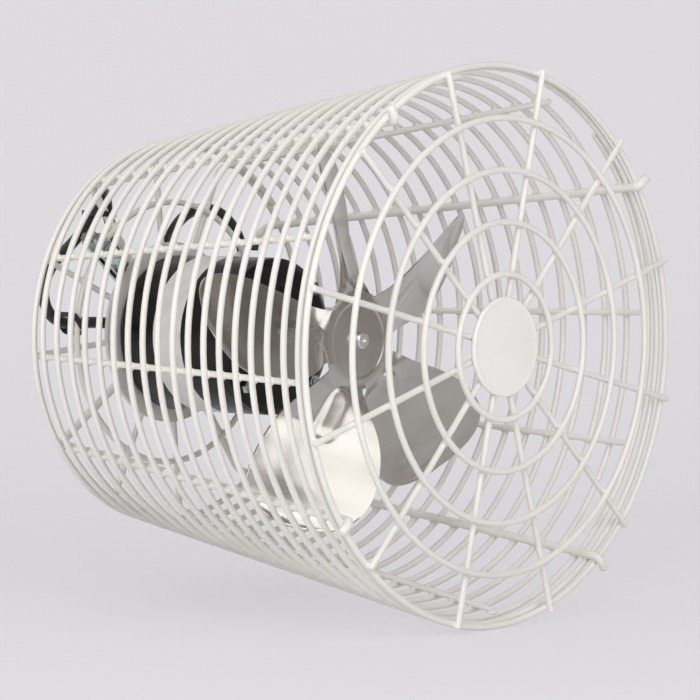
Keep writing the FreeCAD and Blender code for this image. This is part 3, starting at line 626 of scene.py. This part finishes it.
IVORY_COAT = PowderCoat("ivory_powder_coat", "wire_coat", (0.80, 0.795, 0.74), (0.88, 0.875, 0.83))
PLATE_COAT = PowderCoat("plate_powder_coat", "plate_coat", (0.74, 0.73, 0.68), (0.84, 0.835, 0.79))
BADGE_COAT = PowderCoat("badge_satin_coat", "badge", (0.90, 0.90, 0.865), (0.93, 0.93, 0.90),
                        grain=(420.0, 2.0), depth=0.04)
BLADE_METAL = SheetMetal("rolled_aluminium", "blade_aluminium", (0.48, 0.46, 0.43), (0.56, 0.54, 0.51),
                         grain=(1.0, 5.0, (30.0, 30.0, 500.0)), rough=(0.17, 0.25), depth=0.003)
HUB_METAL = SheetMetal("machined_hub_zinc", "hub_zinc", (0.60, 0.59, 0.56), (0.82, 0.81, 0.79),
                       grain=(1.0, 5.0, (40.0, 1500.0, 40.0)))
SHAFT_METAL = SheetMetal("ground_shaft_steel", "shaft_steel", (0.66, 0.65, 0.63), (0.84, 0.83, 0.81),
                         grain=(1.0, 5.0, (40.0, 1800.0, 40.0)), rough=(0.20, 0.34))
ZINC = Plating("zinc_plating", "zinc", (0.27, 0.34, 0.33), (0.62, 0.69, 0.67))
BRONZE = Plating("oiled_bronze", "bronze", (0.42, 0.27, 0.12), (0.66, 0.45, 0.22), crystals=1200.0)
MOTOR_BLACK = Enamel("black_motor_enamel", "motor_enamel", (0.006, 0.006, 0.007), (0.018, 0.018, 0.018))
# Satin film with handling marks and faint ripples
LABEL_WHITE = Finish("blank_white_film", "label", (0.74, 0.74, 0.73), (0.83, 0.83, 0.82),
                     patches=(90.0, 5.0), tone_span=(0.3, 0.6), rough=(0.30, 0.45), grain=(110.0, 1.0),
                     depth=0.15, strength=0.2)
# Edges of stacked plates, from noise that only changes along the fan axis
PLATE_EDGES: Noise = (1.0, 1.0, (3.0, 1600.0, 3.0))
CORE_STEEL = Finish("stacked_core_steel", "core_steel", (0.20, 0.20, 0.21), (0.42, 0.42, 0.43),
                    patches=PLATE_EDGES, rough=(0.35, 0.6), grain=PLATE_EDGES, depth=0.1, strength=0.5,
                    shader=(("Metallic", 1.0),))
WINDING = Enamel("varnished_winding", "winding", (0.25, 0.09, 0.03), (0.45, 0.18, 0.06))
NYLON = Finish("black_nylon", "black_plastic", (0.014, 0.014, 0.015), (0.038, 0.038, 0.040))
JACKET = Finish("cord_jacket_rubber", "cord_jacket", (0.011, 0.011, 0.012), (0.028, 0.028, 0.029),
                grain=(900.0, 2.0), rough=(0.30, 0.42))


@dataclass
class WireGuard:
    """Tapered basket: a spiral side wire on rods, end rings, hooked rods and weld beads."""

    wire: float = 4.8
    hook_wire: float = 6.4
    bite: float = 0.15
    rim_radius: float = 206.8
    rear_radius: float = 150.5
    rear_y: float = -10.2
    rim_stations: Pair = (-345.98, -338.38)
    rim_joints: Pair = (250.0, 270.0)
    rear_joint: float = 275.0
    spiral_front: float = -333.70
    spiral_pitch: float = 18.73
    spiral_turns: float = 17.0224
    spiral_phase: float = 50.0
    spiral_steps: int = 120
    plate_back: float = -6.6
    inner_radius: float = 104.0
    inner_joint: float = 280.0
    rod_count: int = 12
    hook_every: int = 3
    rod_phase: float = 5.3
    rod_bend: float = 8.0
    rod_inner_end: float = 62.0
    rod_front: float = -328.98
    rod_sides: int = 14
    hook_bend: float = 5.45
    hook_reach: float = 7.0
    hook_y: float = -351.43
    side_bead: Place = (1.9, 3.9, 3.7)
    flat_bead: Place = (3.6, 1.7, 3.6)
    plate_welds: Pair = (64.0, 69.0)
    plate_weld_rise: float = 0.3

    def radius(self, y: float | np.ndarray) -> float | np.ndarray:
        """Centreline radius of the basket at a station: straight taper from rear to rim."""
        share = (self.rear_y - y) / (self.rear_y - self.rim_stations[0])
        return self.rear_radius + (self.rim_radius - self.rear_radius) * share

    def offset(self, size: float) -> float:
        """How far inside the rings a rod of that size lies, across the axis."""
        taper = math.atan2(self.rim_radius - self.rear_radius, self.rear_y - self.rim_stations[0])
        return ((self.wire + size) / 2 - self.bite) / math.cos(taper)

    def rod_angles(self, hooked: bool) -> list[float]:
        """Angles in degrees of the hooked or of the plain rods."""
        steps = [step for step in range(self.rod_count) if (step % self.hook_every == 1) == hooked]
        return [self.rod_phase + 360 / self.rod_count * step for step in steps]

    def rod_path(self, size: float, hooked: bool) -> np.ndarray:
        """Path of one rod from its front end, down the taper and in to the motor plate.

        Args:
            size: wire diameter.
            hooked: whether the front end turns outwards round the rim ring.

        Returns:
            Points (outward, along, round).
        """
        back = self.plate_back + size / 2
        front = self.hook_y if hooked else self.rod_front
        inset = self.offset(size)
        corners = [(self.radius(front) - inset, front), (self.radius(back) - inset, back),
                   (self.rod_inner_end, back)]
        bends = (self.rod_bend,)
        if hooked:
            corners.insert(0, (self.rim_radius + self.hook_reach, self.hook_y))
            bends = (self.hook_bend, self.rod_bend)
        return np.pad(bent_path(np.array(corners), bends), ((0, 0), (0, 1)))

    def build_rings(self) -> None:
        """Rim, rear and inner rings; the inner one lies in front of the rods' legs."""
        half = self.wire / 2
        rims = [(self.radius(y), y, joint) for y, joint in zip(self.rim_stations, self.rim_joints)]
        rear = [(self.rear_radius, self.rear_y, self.rear_joint)]
        inner = [(self.inner_radius, self.plate_back - half + self.bite, self.inner_joint)]
        for name, rings in (("rim_rings", rims), ("rear_ring", rear), ("inner_ring", inner)):
            skin = Skin()
            for radius, y, joint in rings:
                skin.add(ring_grid(radius, half, y, joint))
            skin.make(f"guard_{name}", IVORY_COAT, f"basket_{name}")

    def build_spiral(self) -> None:
        """Side wire: station and taper radius change evenly while the angle runs back, turn after turn."""
        turns = np.linspace(0, self.spiral_turns, int(self.spiral_turns * self.spiral_steps))
        y = self.spiral_front + self.spiral_pitch * turns
        angle = math.radians(self.spiral_phase) - 2 * np.pi * turns
        outward = np.stack((np.cos(angle), np.zeros_like(angle), np.sin(angle)), axis=-1)
        path = outward * self.radius(y)[:, None] + y[:, None] * np.array((0, 1, 0))
        wire = Skin().add(swept_grid(path, outward, self.wire / 2, WireEnd.CROPPED))
        wire.make("guard_side_spiral", IVORY_COAT, "basket_side_spiral")

    def build_rods(self) -> None:
        """Plain and hooked rods."""
        for name, size, hooked, end in (("rods", self.wire, False, WireEnd.CROPPED),
                                        ("hook_rods", self.hook_wire, True, WireEnd.ROUNDED)):
            rod = swept_grid(self.rod_path(size, hooked), UPRIGHT, size / 2, end, self.rod_sides)
            skin = Skin()
            for angle in self.rod_angles(hooked):
                skin.add_at(rod, angle)
            skin.make(f"guard_{name}", IVORY_COAT, f"basket_{name}")

    def crossings(self, angle: float, front: float) -> np.ndarray:
        """Stations where the side wire crosses a rod at an angle in degrees, behind the rod's front end."""
        first = (self.spiral_phase - angle) % 360 / 360
        y = self.spiral_front + self.spiral_pitch * (first + np.arange(int(self.spiral_turns)))
        return y[y > front]

    def build_welds(self) -> None:
        """Weld beads where rods meet the side wire, rings and plate, flattened between the two."""
        side, flat = bead_grid(self.side_bead), bead_grid(self.flat_bead)
        skin = Skin()
        for hooked in (False, True):
            front, rims = (self.hook_y, self.rim_stations) if hooked else (self.rod_front, ())
            for angle in self.rod_angles(hooked):
                for y in (*self.crossings(angle, front), *rims):
                    skin.add_at(side, angle, (self.radius(y) - self.wire / 2, y, 0.0))
                skin.add_at(flat, angle, (self.inner_radius, self.plate_back, 0.0))
                for reach in self.plate_welds:
                    skin.add_at(flat, angle, (reach, self.plate_back + self.plate_weld_rise, 0.0))
        skin.make("guard_weld_beads", IVORY_COAT)

    def build(self) -> None:
        """All pieces of the basket."""
        self.build_rings()
        self.build_spiral()
        self.build_rods()
        self.build_welds()


@dataclass
class FrontGrille:
    """Spokes and rings of the front grille, with its blank centre badge."""

    wire: float = 4.8
    ring_y: float = -355.28
    spoke_y: float = -350.63
    ring_radii: tuple[float, ...] = (53.6, 91.75, 129.9, 168.05)
    ring_joints: tuple[float, ...] = (100.0, 170.0, 240.0, 310.0)
    ring_steps: int = 120
    rim_radius: float = 206.8
    spoke_count: int = 12
    spoke_phase: float = 16.6
    spoke_inner_end: float = 20.0
    spoke_pitch: float = 12.0
    bead: Place = (3.2, 1.7, 3.2)
    dome_radius: float = 34.4
    dome_front: float = -357.13
    dome_fall: float = 0.9
    dome_steps: int = 12
    badge_rim: Profile = (
        (34.4, -356.23), (35.4, -356.53), (37.0, -355.43), (37.0, -353.03), (34.0, -353.03))
    badge_round: float = 1.2

    def build_wires(self) -> None:
        """Rings, spokes and their weld beads."""
        half = self.wire / 2
        rings, spokes, beads = Skin(), Skin(), Skin()
        for radius, joint in zip(self.ring_radii, self.ring_joints):
            rings.add(ring_grid(radius, half, self.ring_y, joint, self.ring_steps))
        rings.make("grille_ring_wires", IVORY_COAT, "grille_rings")
        ends = np.array(((self.spoke_inner_end, self.spoke_y, 0), (self.rim_radius + half, self.spoke_y, 0)))
        spoke = swept_grid(straight_run(*ends, self.spoke_pitch), UPRIGHT, half, WireEnd.CROPPED)
        bead = bead_grid(self.bead)
        for step in range(self.spoke_count):
            angle = self.spoke_phase + 360 / self.spoke_count * step
            spokes.add_at(spoke, angle)
            for radius in self.ring_radii:
                beads.add_at(bead, angle, (radius, (self.ring_y + self.spoke_y) / 2, 0.0))
            beads.add_at(bead, angle, (self.rim_radius, self.spoke_y + half, 0.0))
        spokes.make("grille_spoke_wires", IVORY_COAT, "grille_spokes")
        beads.make("grille_weld_beads", IVORY_COAT)

    def build_badge(self) -> None:
        """Blank badge: a low dome inside a rounded rim, turned about the axis.

        Formula: the dome falls back from its middle by the square of the share of its radius.
        """
        share = np.linspace(0, 1, self.dome_steps)
        dome = np.stack((share * self.dome_radius, self.dome_front + self.dome_fall * share ** 2), axis=-1)
        rim = filleted(self.badge_rim, self.badge_round)
        back = (0.0, self.badge_rim[-1][1])
        badge = Skin().add(turned_grid(np.concatenate((dome, rim[1:], (back,)))))
        badge.make("blank_badge", BADGE_COAT, "centre_badge")

    def build(self) -> None:
        """All pieces of the grille."""
        self.build_wires()
        self.build_badge()


@dataclass
class FanWheel:
    """Five-bladed wheel stamped from one sheet, with a dished hub and a rib on each arm."""

    front_y: float = -210.4
    thick: float = 1.5
    phase: float = 29.0
    blades: int = 5
    columns: int = 96
    rows: int = 70
    row_crowding: float = 1.15
    hub_rows: tuple[float, ...] = (6.35, 7.0, 11.0, 16.0, 21.0, 25.5, 27.8, 28.2, 28.6, 29.0, 29.4, 29.8,
                                   30.2, 31.5)
    blend: float = 33.0
    twist_run: float = 14.0
    bow_run: float = 40.0
    dish_radius: float = 29.0
    dish_depth: float = 0.7
    dish_edge: float = 1.6
    rib: Pair = (47.0, 76.0)
    rib_height: float = 1.8
    rib_half: float = 8.5
    rib_flank: float = 4.5
    valley: float = 38.5
    tip: float = 152.4
    bow: float = 0.06
    edge: float = 0.75
    edge_rows: int = 3
    table_samples: int = 400
    outline_samples: int = 1600
    stations: tuple[tuple[float, float, float, float], ...] = (
        (27.0, 34.0, 0.0, 0.0), (34.0, 40.0, 8.0, 0.2), (50.0, 52.0, 28.0, 0.8), (70.0, 76.5, 36.5, 0.8),
        (94.0, 93.0, 37.0, 1.0), (118.0, 97.0, 36.5, 3.7), (136.0, 86.0, 36.5, 8.0),
        (146.5, 62.0, 36.5, 10.4), (151.6, 26.0, 36.5, 11.4))

    def along_blade(self) -> np.ndarray:
        """Smooth table of reach, chord, pitch in radians and set-back, one row per sample."""
        table = smooth_curve(np.array(self.stations), self.table_samples)
        table[:, 2] = np.radians(table[:, 2])
        return table

    def outline(self) -> np.ndarray:
        """Outline of one blade from valley to valley, as (angle from its middle, radius).

        The half widths at the stations are mirrored about the middle line and joined to the hub by a
        round valley at half the blade spacing.  Samples are spaced by the mean of the shares of length
        and of angle that have gone by.

        Returns:
            Angle in radians and radius, one sample per row.
        """
        half = math.pi / self.blades
        reach, chord, pitch, _ = np.array(self.stations[1:]).T
        width = chord / 2 * np.cos(np.radians(pitch))
        side = np.stack((reach, width), axis=-1)
        valley = (self.valley * math.cos(half), self.valley * math.sin(half))
        upper = np.concatenate(((valley,), side, ((self.tip, 0.0),)))
        lower = upper[-2::-1] * np.array((1, -1))
        curve = smooth_curve(np.concatenate((upper, lower)), self.outline_samples)
        angle = np.minimum.accumulate(np.arctan2(curve[:, 1], curve[:, 0]))
        gone = np.linspace(0, 1, len(curve)) + (angle[0] - angle) / (angle[0] - angle[-1])
        wanted = np.linspace(0, 2, self.columns + 1)[:-1]
        radius = np.hypot(curve[:, 0], curve[:, 1])
        return np.stack((np.interp(wanted, gone, angle), np.interp(wanted, gone, radius)), axis=-1)

    def height(self, radius: np.ndarray, angle: np.ndarray) -> tuple[np.ndarray, np.ndarray]:
        """Axial place of the front skin and the sheet's thickness along the axis.

        Formula: with s and l the distances along and across the blade's middle line, the skin stands
        back by the set-back of s, leans by l times the tangent of the pitch and bows back by a parabola
        across the chord.  The middle of the hub is dished by a soft step, and a rib with rounded ends
        rises along each arm by a soft step of the distance from its middle line.

        Args:
            radius: distance from the axis.
            angle: angle from the blade's middle line, in radians.

        Returns:
            Axial coordinate of each point, and thickness along the axis.
        """
        table = self.along_blade()
        along, across = radius * np.cos(angle), radius * np.sin(angle)
        chord, pitch, back = (np.interp(along, table[:, 0], table[:, column]) for column in (1, 2, 3))
        pitch = pitch * soft_step((radius - self.blend) / self.twist_run)
        share = np.clip(2 * across / (chord * np.cos(pitch)), -1, 1)
        bow = self.bow * chord * np.clip((along - self.blend) / self.bow_run, 0, 1) / np.cos(pitch)
        dish = self.dish_depth * soft_step((self.dish_radius - radius) / self.dish_edge + 0.5)
        beside = np.hypot(along - np.clip(along, *self.rib), across)
        rib = self.rib_height * soft_step((self.rib_half - beside) / self.rib_flank)
        arm = np.where(along > self.stations[0][0], back, 0.0)
        front = self.front_y + arm - np.tan(pitch) * across + bow * (1 - share ** 2) + dish - rib
        return front, self.thick / np.cos(pitch)

    def wheel_grid(self) -> Grid:
        """Whole wheel as one closed grid: out along the front skin, round the edge, back along the rear.

        Formula: the edge is half an ellipse, whose reach goes as the sine and whose depth goes as the
        cosine of one angle.

        Returns:
            Points, quads and triangles.
        """
        outline = self.outline()
        step = 2 * np.pi / self.blades
        angle = np.tile(outline[:, 0], self.blades)
        reach = np.tile(outline[:, 1], self.blades)
        middle = math.radians(self.phase) - step * np.repeat(np.arange(self.blades), len(outline))
        go = np.linspace(0, 1, self.rows)[:, None] ** self.row_crowding
        hub = np.array(self.hub_rows)[:, None] + np.zeros_like(angle)
        radius = np.concatenate((hub, self.blend + (reach - self.edge - self.blend) * go))
        front, thick = self.height(radius, angle)
        lap = np.linspace(0, np.pi, self.edge_rows + 2)[1:-1, None]
        rim = reach - self.edge * (1 - np.sin(lap))
        radius = np.concatenate((radius, rim, radius[::-1]))
        y = np.concatenate((front, front[-1] + thick[-1] * (1 - np.cos(lap)) / 2, (front + thick)[::-1]))
        turn = (middle + angle)[None, :] + np.zeros_like(radius)
        points = np.stack((radius * np.cos(turn), y, radius * np.sin(turn)), axis=-1)
        return looped_grid(points)

    def build(self) -> None:
        """The stamped wheel."""
        Skin().add(self.wheel_grid()).make("fan_wheel", BLADE_METAL, "fan_blade", body=ROTOR, crease=50.0)


@dataclass
class Motor:
    """Enclosed motor: shell and two end bells, each a profile (radius, y) with its rounding.

    The shell has rolled edges, the front bell has a boss, a raised ring and a shoulder, and both bells
    are hollow towards the shell.
    """

    shell: Profile = (
        (59.5, -18.0), (61.1, -18.0), (61.5, -19.2), (61.5, -116.8), (61.1, -118.0), (59.5, -118.0))
    shell_round: float = 0.5
    front_bell: Profile = (
        (9.0, -137.0), (15.0, -137.0), (17.0, -134.0), (18.5, -126.4), (27.0, -126.4), (30.0, -127.0),
        (40.0, -127.0), (42.0, -126.3), (55.5, -126.3), (61.2, -123.5), (61.5, -118.8), (60.7, -118.0),
        (57.5, -118.0), (57.5, -122.0), (9.0, -122.0))
    front_round: float = 1.4
    rear_bell: Profile = (
        (0.0, -9.6), (55.5, -9.6), (59.7, -11.4), (61.5, -15.6), (61.5, -17.4), (60.9, -18.0), (57.5, -18.0),
        (57.5, -13.6), (0.0, -13.6))
    rear_round: float = 1.0

    def build(self) -> None:
        """Turn each profile about the fan axis."""
        for name, profile, fillet in (("motor_shell", self.shell, self.shell_round),
                                      ("motor_front_bell", self.front_bell, self.front_round),
                                      ("motor_rear_bell", self.rear_bell, self.rear_round)):
            skin = Skin().add(turned_grid(filleted(profile, fillet)))
            skin.make(f"{name}_skin", MOTOR_BLACK, name)


@dataclass
class SupplyCord:
    """Cord from the gland round the back of the guard to a tied coil with its plug."""

    size: float = 9.0
    length: float = 2.48
    coil_centre: Pair = (92.0, -4.0)
    coil_start_y: float = 18.0
    coil_outer: float = 53.0
    coil_span: Pair = (0.03, 5.66)
    turn_points: int = 16
    pitch: float = 9.75
    layers: int = 4
    layer_turns: float = 1.5
    climb: float = 0.5
    route: tuple[Place, ...] = (
        (6, 5.5, 48), (6, 5.5, 71), (33, 5.5, 98), (71, 5.5, 98), (98, 5.5, 71), (98, 5.5, 33), (71, 5.5, 6),
        (36, 5.5, 4.5), (2, 5.5, 9.5), (-32, 5.5, 5.5), (-64, 5.5, 9.5), (-85, 5.5, 9.8), (-109.7, 5.8, 10),
        (-123.1, 6.2, 21.2), (-126.1, 6.7, 38.4), (-115, 7.2, 57.5), (-90, 8.2, 73.5), (-67, 9.5, 95),
        (-55, 14, 110), (-44.1, 22.4, 113), (-34.4, 30, 106), (-29, 34, 92), (-20, 33, 70), (-6, 30, 49),
        (12, 27, 36), (29, 22.5, 26), (35.9, 18, 5.65))
    tail: tuple[Place, ...] = (
        (41.5, 56.6, 8.0), (42.4, 58.6, -12.0), (48.0, 60.4, -29.0), (60.0, 61.75, -38.0),
        (72.0, 61.75, -38.0))

    def coil(self) -> np.ndarray:
        """Control points of the coil, the same number in every turn.

        Formula: the angle grows with the turns while the radius winds in and out between the outer and
        inner turn and the pile climbs a layer at every reversal; the radius is divided by the cosine of
        half a step, because the spline runs inside its control points by that share.

        Returns:
            Points, one per row.
        """
        turns = np.arange(*self.coil_span, 1 / self.turn_points)
        fold = np.abs((turns / self.layer_turns + 1) % 2 - 1)
        radius = self.coil_outer - self.pitch * self.layer_turns * fold
        radius /= math.cos(math.pi / self.turn_points)
        past = turns[:, None] - self.layer_turns * np.arange(1, self.layers)
        y = self.coil_start_y + self.pitch * soft_step(past / self.climb + 0.5).sum(axis=1)
        angle = np.pi + 2 * np.pi * turns
        x, z = self.coil_centre
        return np.stack((x + radius * np.cos(angle), y, z + radius * np.sin(angle)), axis=-1)

    def build(self) -> None:
        """The cord as one smooth spline, in place of the cord and coil solids."""
        points = np.concatenate((self.route, self.coil(), self.tail)) * MM
        curve = bpy.data.curves.new("supply_cord_run", "CURVE")
        curve.dimensions = "3D"
        curve.bevel_depth = self.size / 2 * MM
        curve.bevel_resolution = 5
        curve.resolution_u = 6
        curve.use_fill_caps = True
        spline = curve.splines.new("NURBS")
        spline.points.add(len(points) - 1)
        spline.points.foreach_set("co", np.concatenate((points, np.ones((len(points), 1))), axis=1).ravel())
        spline.order_u = 3
        spline.use_endpoint_u = True
        cord = linked("supply_cord_run", curve)
        curve.materials.append(JACKET.material())
        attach(cord, GUARD)
        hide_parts("supply_cord", "cord_coil")
        log.info("supply_cord_run: %d control points", len(points))


CARRIED_OVER: dict[Finish, tuple[str, ...]] = {
    PLATE_COAT: ("badge_backing_plate", "motor_plate"),
    ZINC: ("badge_screw", "motor_studs", "stud_washers", "stud_nuts_rear", "stud_nuts_front",
           "hub_set_screws", "cord_strap", "strap_clamp_bar", "strap_bolts", "strap_nuts", "plug_pins"),
    BRONZE: ("front_bearing", "rear_bearing"),
    LABEL_WHITE: ("motor_label",),
    CORE_STEEL: ("stator_core", "rotor_core"),
    WINDING: ("stator_front_winding", "stator_rear_winding"),
    SHAFT_METAL: ("motor_shaft", "shaft_collars"),
    HUB_METAL: ("fan_hub",),
    NYLON: ("cord_gland", "cable_ties", "coil_tie", "plug_body"),
}


def dress_carried_over() -> None:
    """Give every solid that stays in view its finish."""
    for finish, names in CARRIED_OVER.items():
        for name in names:
            piece = bpy.data.objects[name]
            material = finish.material()
            if not piece.material_slots:
                piece.data.materials.append(material)
            for slot in piece.material_slots:
                slot.material = material
            log.info("%s: %s", name, finish.name)


@dataclass(frozen=True)
class Lamp:
    """Square soft lamp: its place and side in millimetres, and its power in watts."""

    name: str
    place: Place
    side: float
    watts: float

    def build(self, target: Place) -> None:
        """Hang the lamp and aim it at the target."""
        lamp = bpy.data.lights.new(self.name, "AREA")
        lamp.size = self.side * MM
        lamp.energy = self.watts
        aimed(self.name, lamp, self.place, target)


@dataclass
class Studio:
    """Pale sweep, soft lamps, a plain room around them and the camera at the photograph's angle."""

    eye: Place = (-1975.5, -1984.9, 132.5)
    target: Place = (-170.5, -355.3, 4.4)
    lens: float = 179.4
    middle: Place = (0.0, -180.0, 0.0)
    floor_z: float = -209.3
    floor_run: Pair = (-4000.0, 900.0)
    sweep_radius: float = 700.0
    sweep_top: float = 1300.0
    sweep_steps: int = 24
    sweep_sides: Pair = (-2600.0, 4400.0)
    sweep_columns: int = 9
    paper: Colour = (0.80, 0.79, 0.835)
    glow: Colour = (0.77, 0.76, 0.80)
    glow_share: float = 0.65
    room: Colour = (0.31, 0.29, 0.27)
    lamps: tuple[Lamp, ...] = (
        Lamp("key_lamp", (-2300.0, -300.0, 600.0), 1300.0, 19.0),
        Lamp("front_lamp", (-1430.0, -2040.0, 1240.0), 2100.0, 27.0),
        Lamp("fill_lamp", (60.0, -2650.0, 640.0), 1300.0, 11.0),
        Lamp("top_lamp", (300.0, 500.0, 2200.0), 1800.0, 9.5))

    def build_camera(self) -> None:
        """Camera that looks from the eye to the target without roll."""
        camera = aimed("photo_camera", bpy.data.cameras.new("photo_camera"), self.eye, self.target)
        camera.data.lens = self.lens
        camera.data.sensor_width = 36.0
        camera.data.clip_end = 50.0
        bpy.context.scene.camera = camera

    def build_sweep(self) -> None:
        """Floor that rises into a backdrop, as a profile carried sideways.

        Formula: the profile runs level, then up a quarter circle, then straight up, behind the object as
        the camera sees it.
        """
        way = np.array(self.target) - np.array(self.eye)
        way = way * (1, 1, 0) / np.linalg.norm(way[:2])
        side = np.array((-way[1], way[0], 0))
        bend = np.linspace(0, np.pi / 2, self.sweep_steps)[1:]
        wall = self.floor_run[1] + self.sweep_radius
        run = np.concatenate((self.floor_run, self.floor_run[1] + self.sweep_radius * np.sin(bend), (wall,)))
        rise = np.concatenate(((0.0, 0.0), self.sweep_radius * (1 - np.cos(bend)), (self.sweep_top,)))
        middle = np.array((*self.middle[:2], self.floor_z))
        line = middle + run[:, None] * way + rise[:, None] * UPRIGHT
        across = np.linspace(*self.sweep_sides, self.sweep_columns)
        points = (line[:, None, :] + across[None, :, None] * side) * MM
        faces = grid_quads(len(line), len(across), Wrap.NONE)
        mesh = bpy.data.meshes.new("studio_sweep")
        mesh.from_pydata(points.reshape(-1, 3).tolist(), [], faces.tolist())
        mesh.polygons.foreach_set("use_smooth", np.ones(len(mesh.polygons), dtype=bool))
        sweep_piece = linked("studio_sweep", mesh)
        mesh.materials.append(self.sweep_material())

    def sweep_material(self) -> bpy.types.Material:
        """Pale paper: plain diffuse for bounced light, mixed with its own glow where it is looked at."""
        material = bpy.data.materials.new("pale_paper")
        material.use_nodes = True
        tree = material.node_tree
        tree.nodes.clear()
        path = new_node(tree, "LightPath", {})
        seen = path.outputs["Is Camera Ray"]
        for other in ("Is Glossy Ray", "Is Transmission Ray"):
            seen = new_node(tree, "Math", {0: seen, 1: path.outputs[other]}, "MAXIMUM").outputs[0]
        share = new_node(tree, "Math", {0: seen, 1: self.glow_share}, "MULTIPLY")
        paper = new_node(tree, "BsdfDiffuse", {"Color": (*self.paper, 1.0)})
        glow = new_node(tree, "Emission", {"Color": (*self.glow, 1.0)})
        parts = {at: node.outputs[0] for at, node in enumerate((share, paper, glow))}
        mix = new_node(tree, "MixShader", parts)
        new_node(tree, "OutputMaterial", {"Surface": mix.outputs[0]})
        return material

    def build_light(self) -> None:
        """Key, front, fill and top lamps with a plain room around."""
        for lamp in self.lamps:
            lamp.build(self.middle)
        world = bpy.data.worlds.new("studio_room")
        world.use_nodes = True
        room = world.node_tree.nodes["Background"]
        room.inputs["Color"].default_value = (*self.room, 1.0)
        room.inputs["Strength"].default_value = 1.0
        bpy.context.scene.world = world

    def build(self) -> None:
        """Camera, sweep and light."""
        bpy.context.scene.view_settings.view_transform = "Standard"
        self.build_camera()
        self.build_sweep()
        self.build_light()


def main() -> None:
    """Build the studio, then every sub-assembly in order."""
    logging.basicConfig(level=logging.INFO, format="%(name)s: %(message)s")
    for part in (Studio(), SupplyCord(), WireGuard(), FrontGrille(), FanWheel(), Motor()):
        part.build()
        log.info("%s built", type(part).__name__)
    dress_carried_over()


if __name__ == "__main__":
    main()
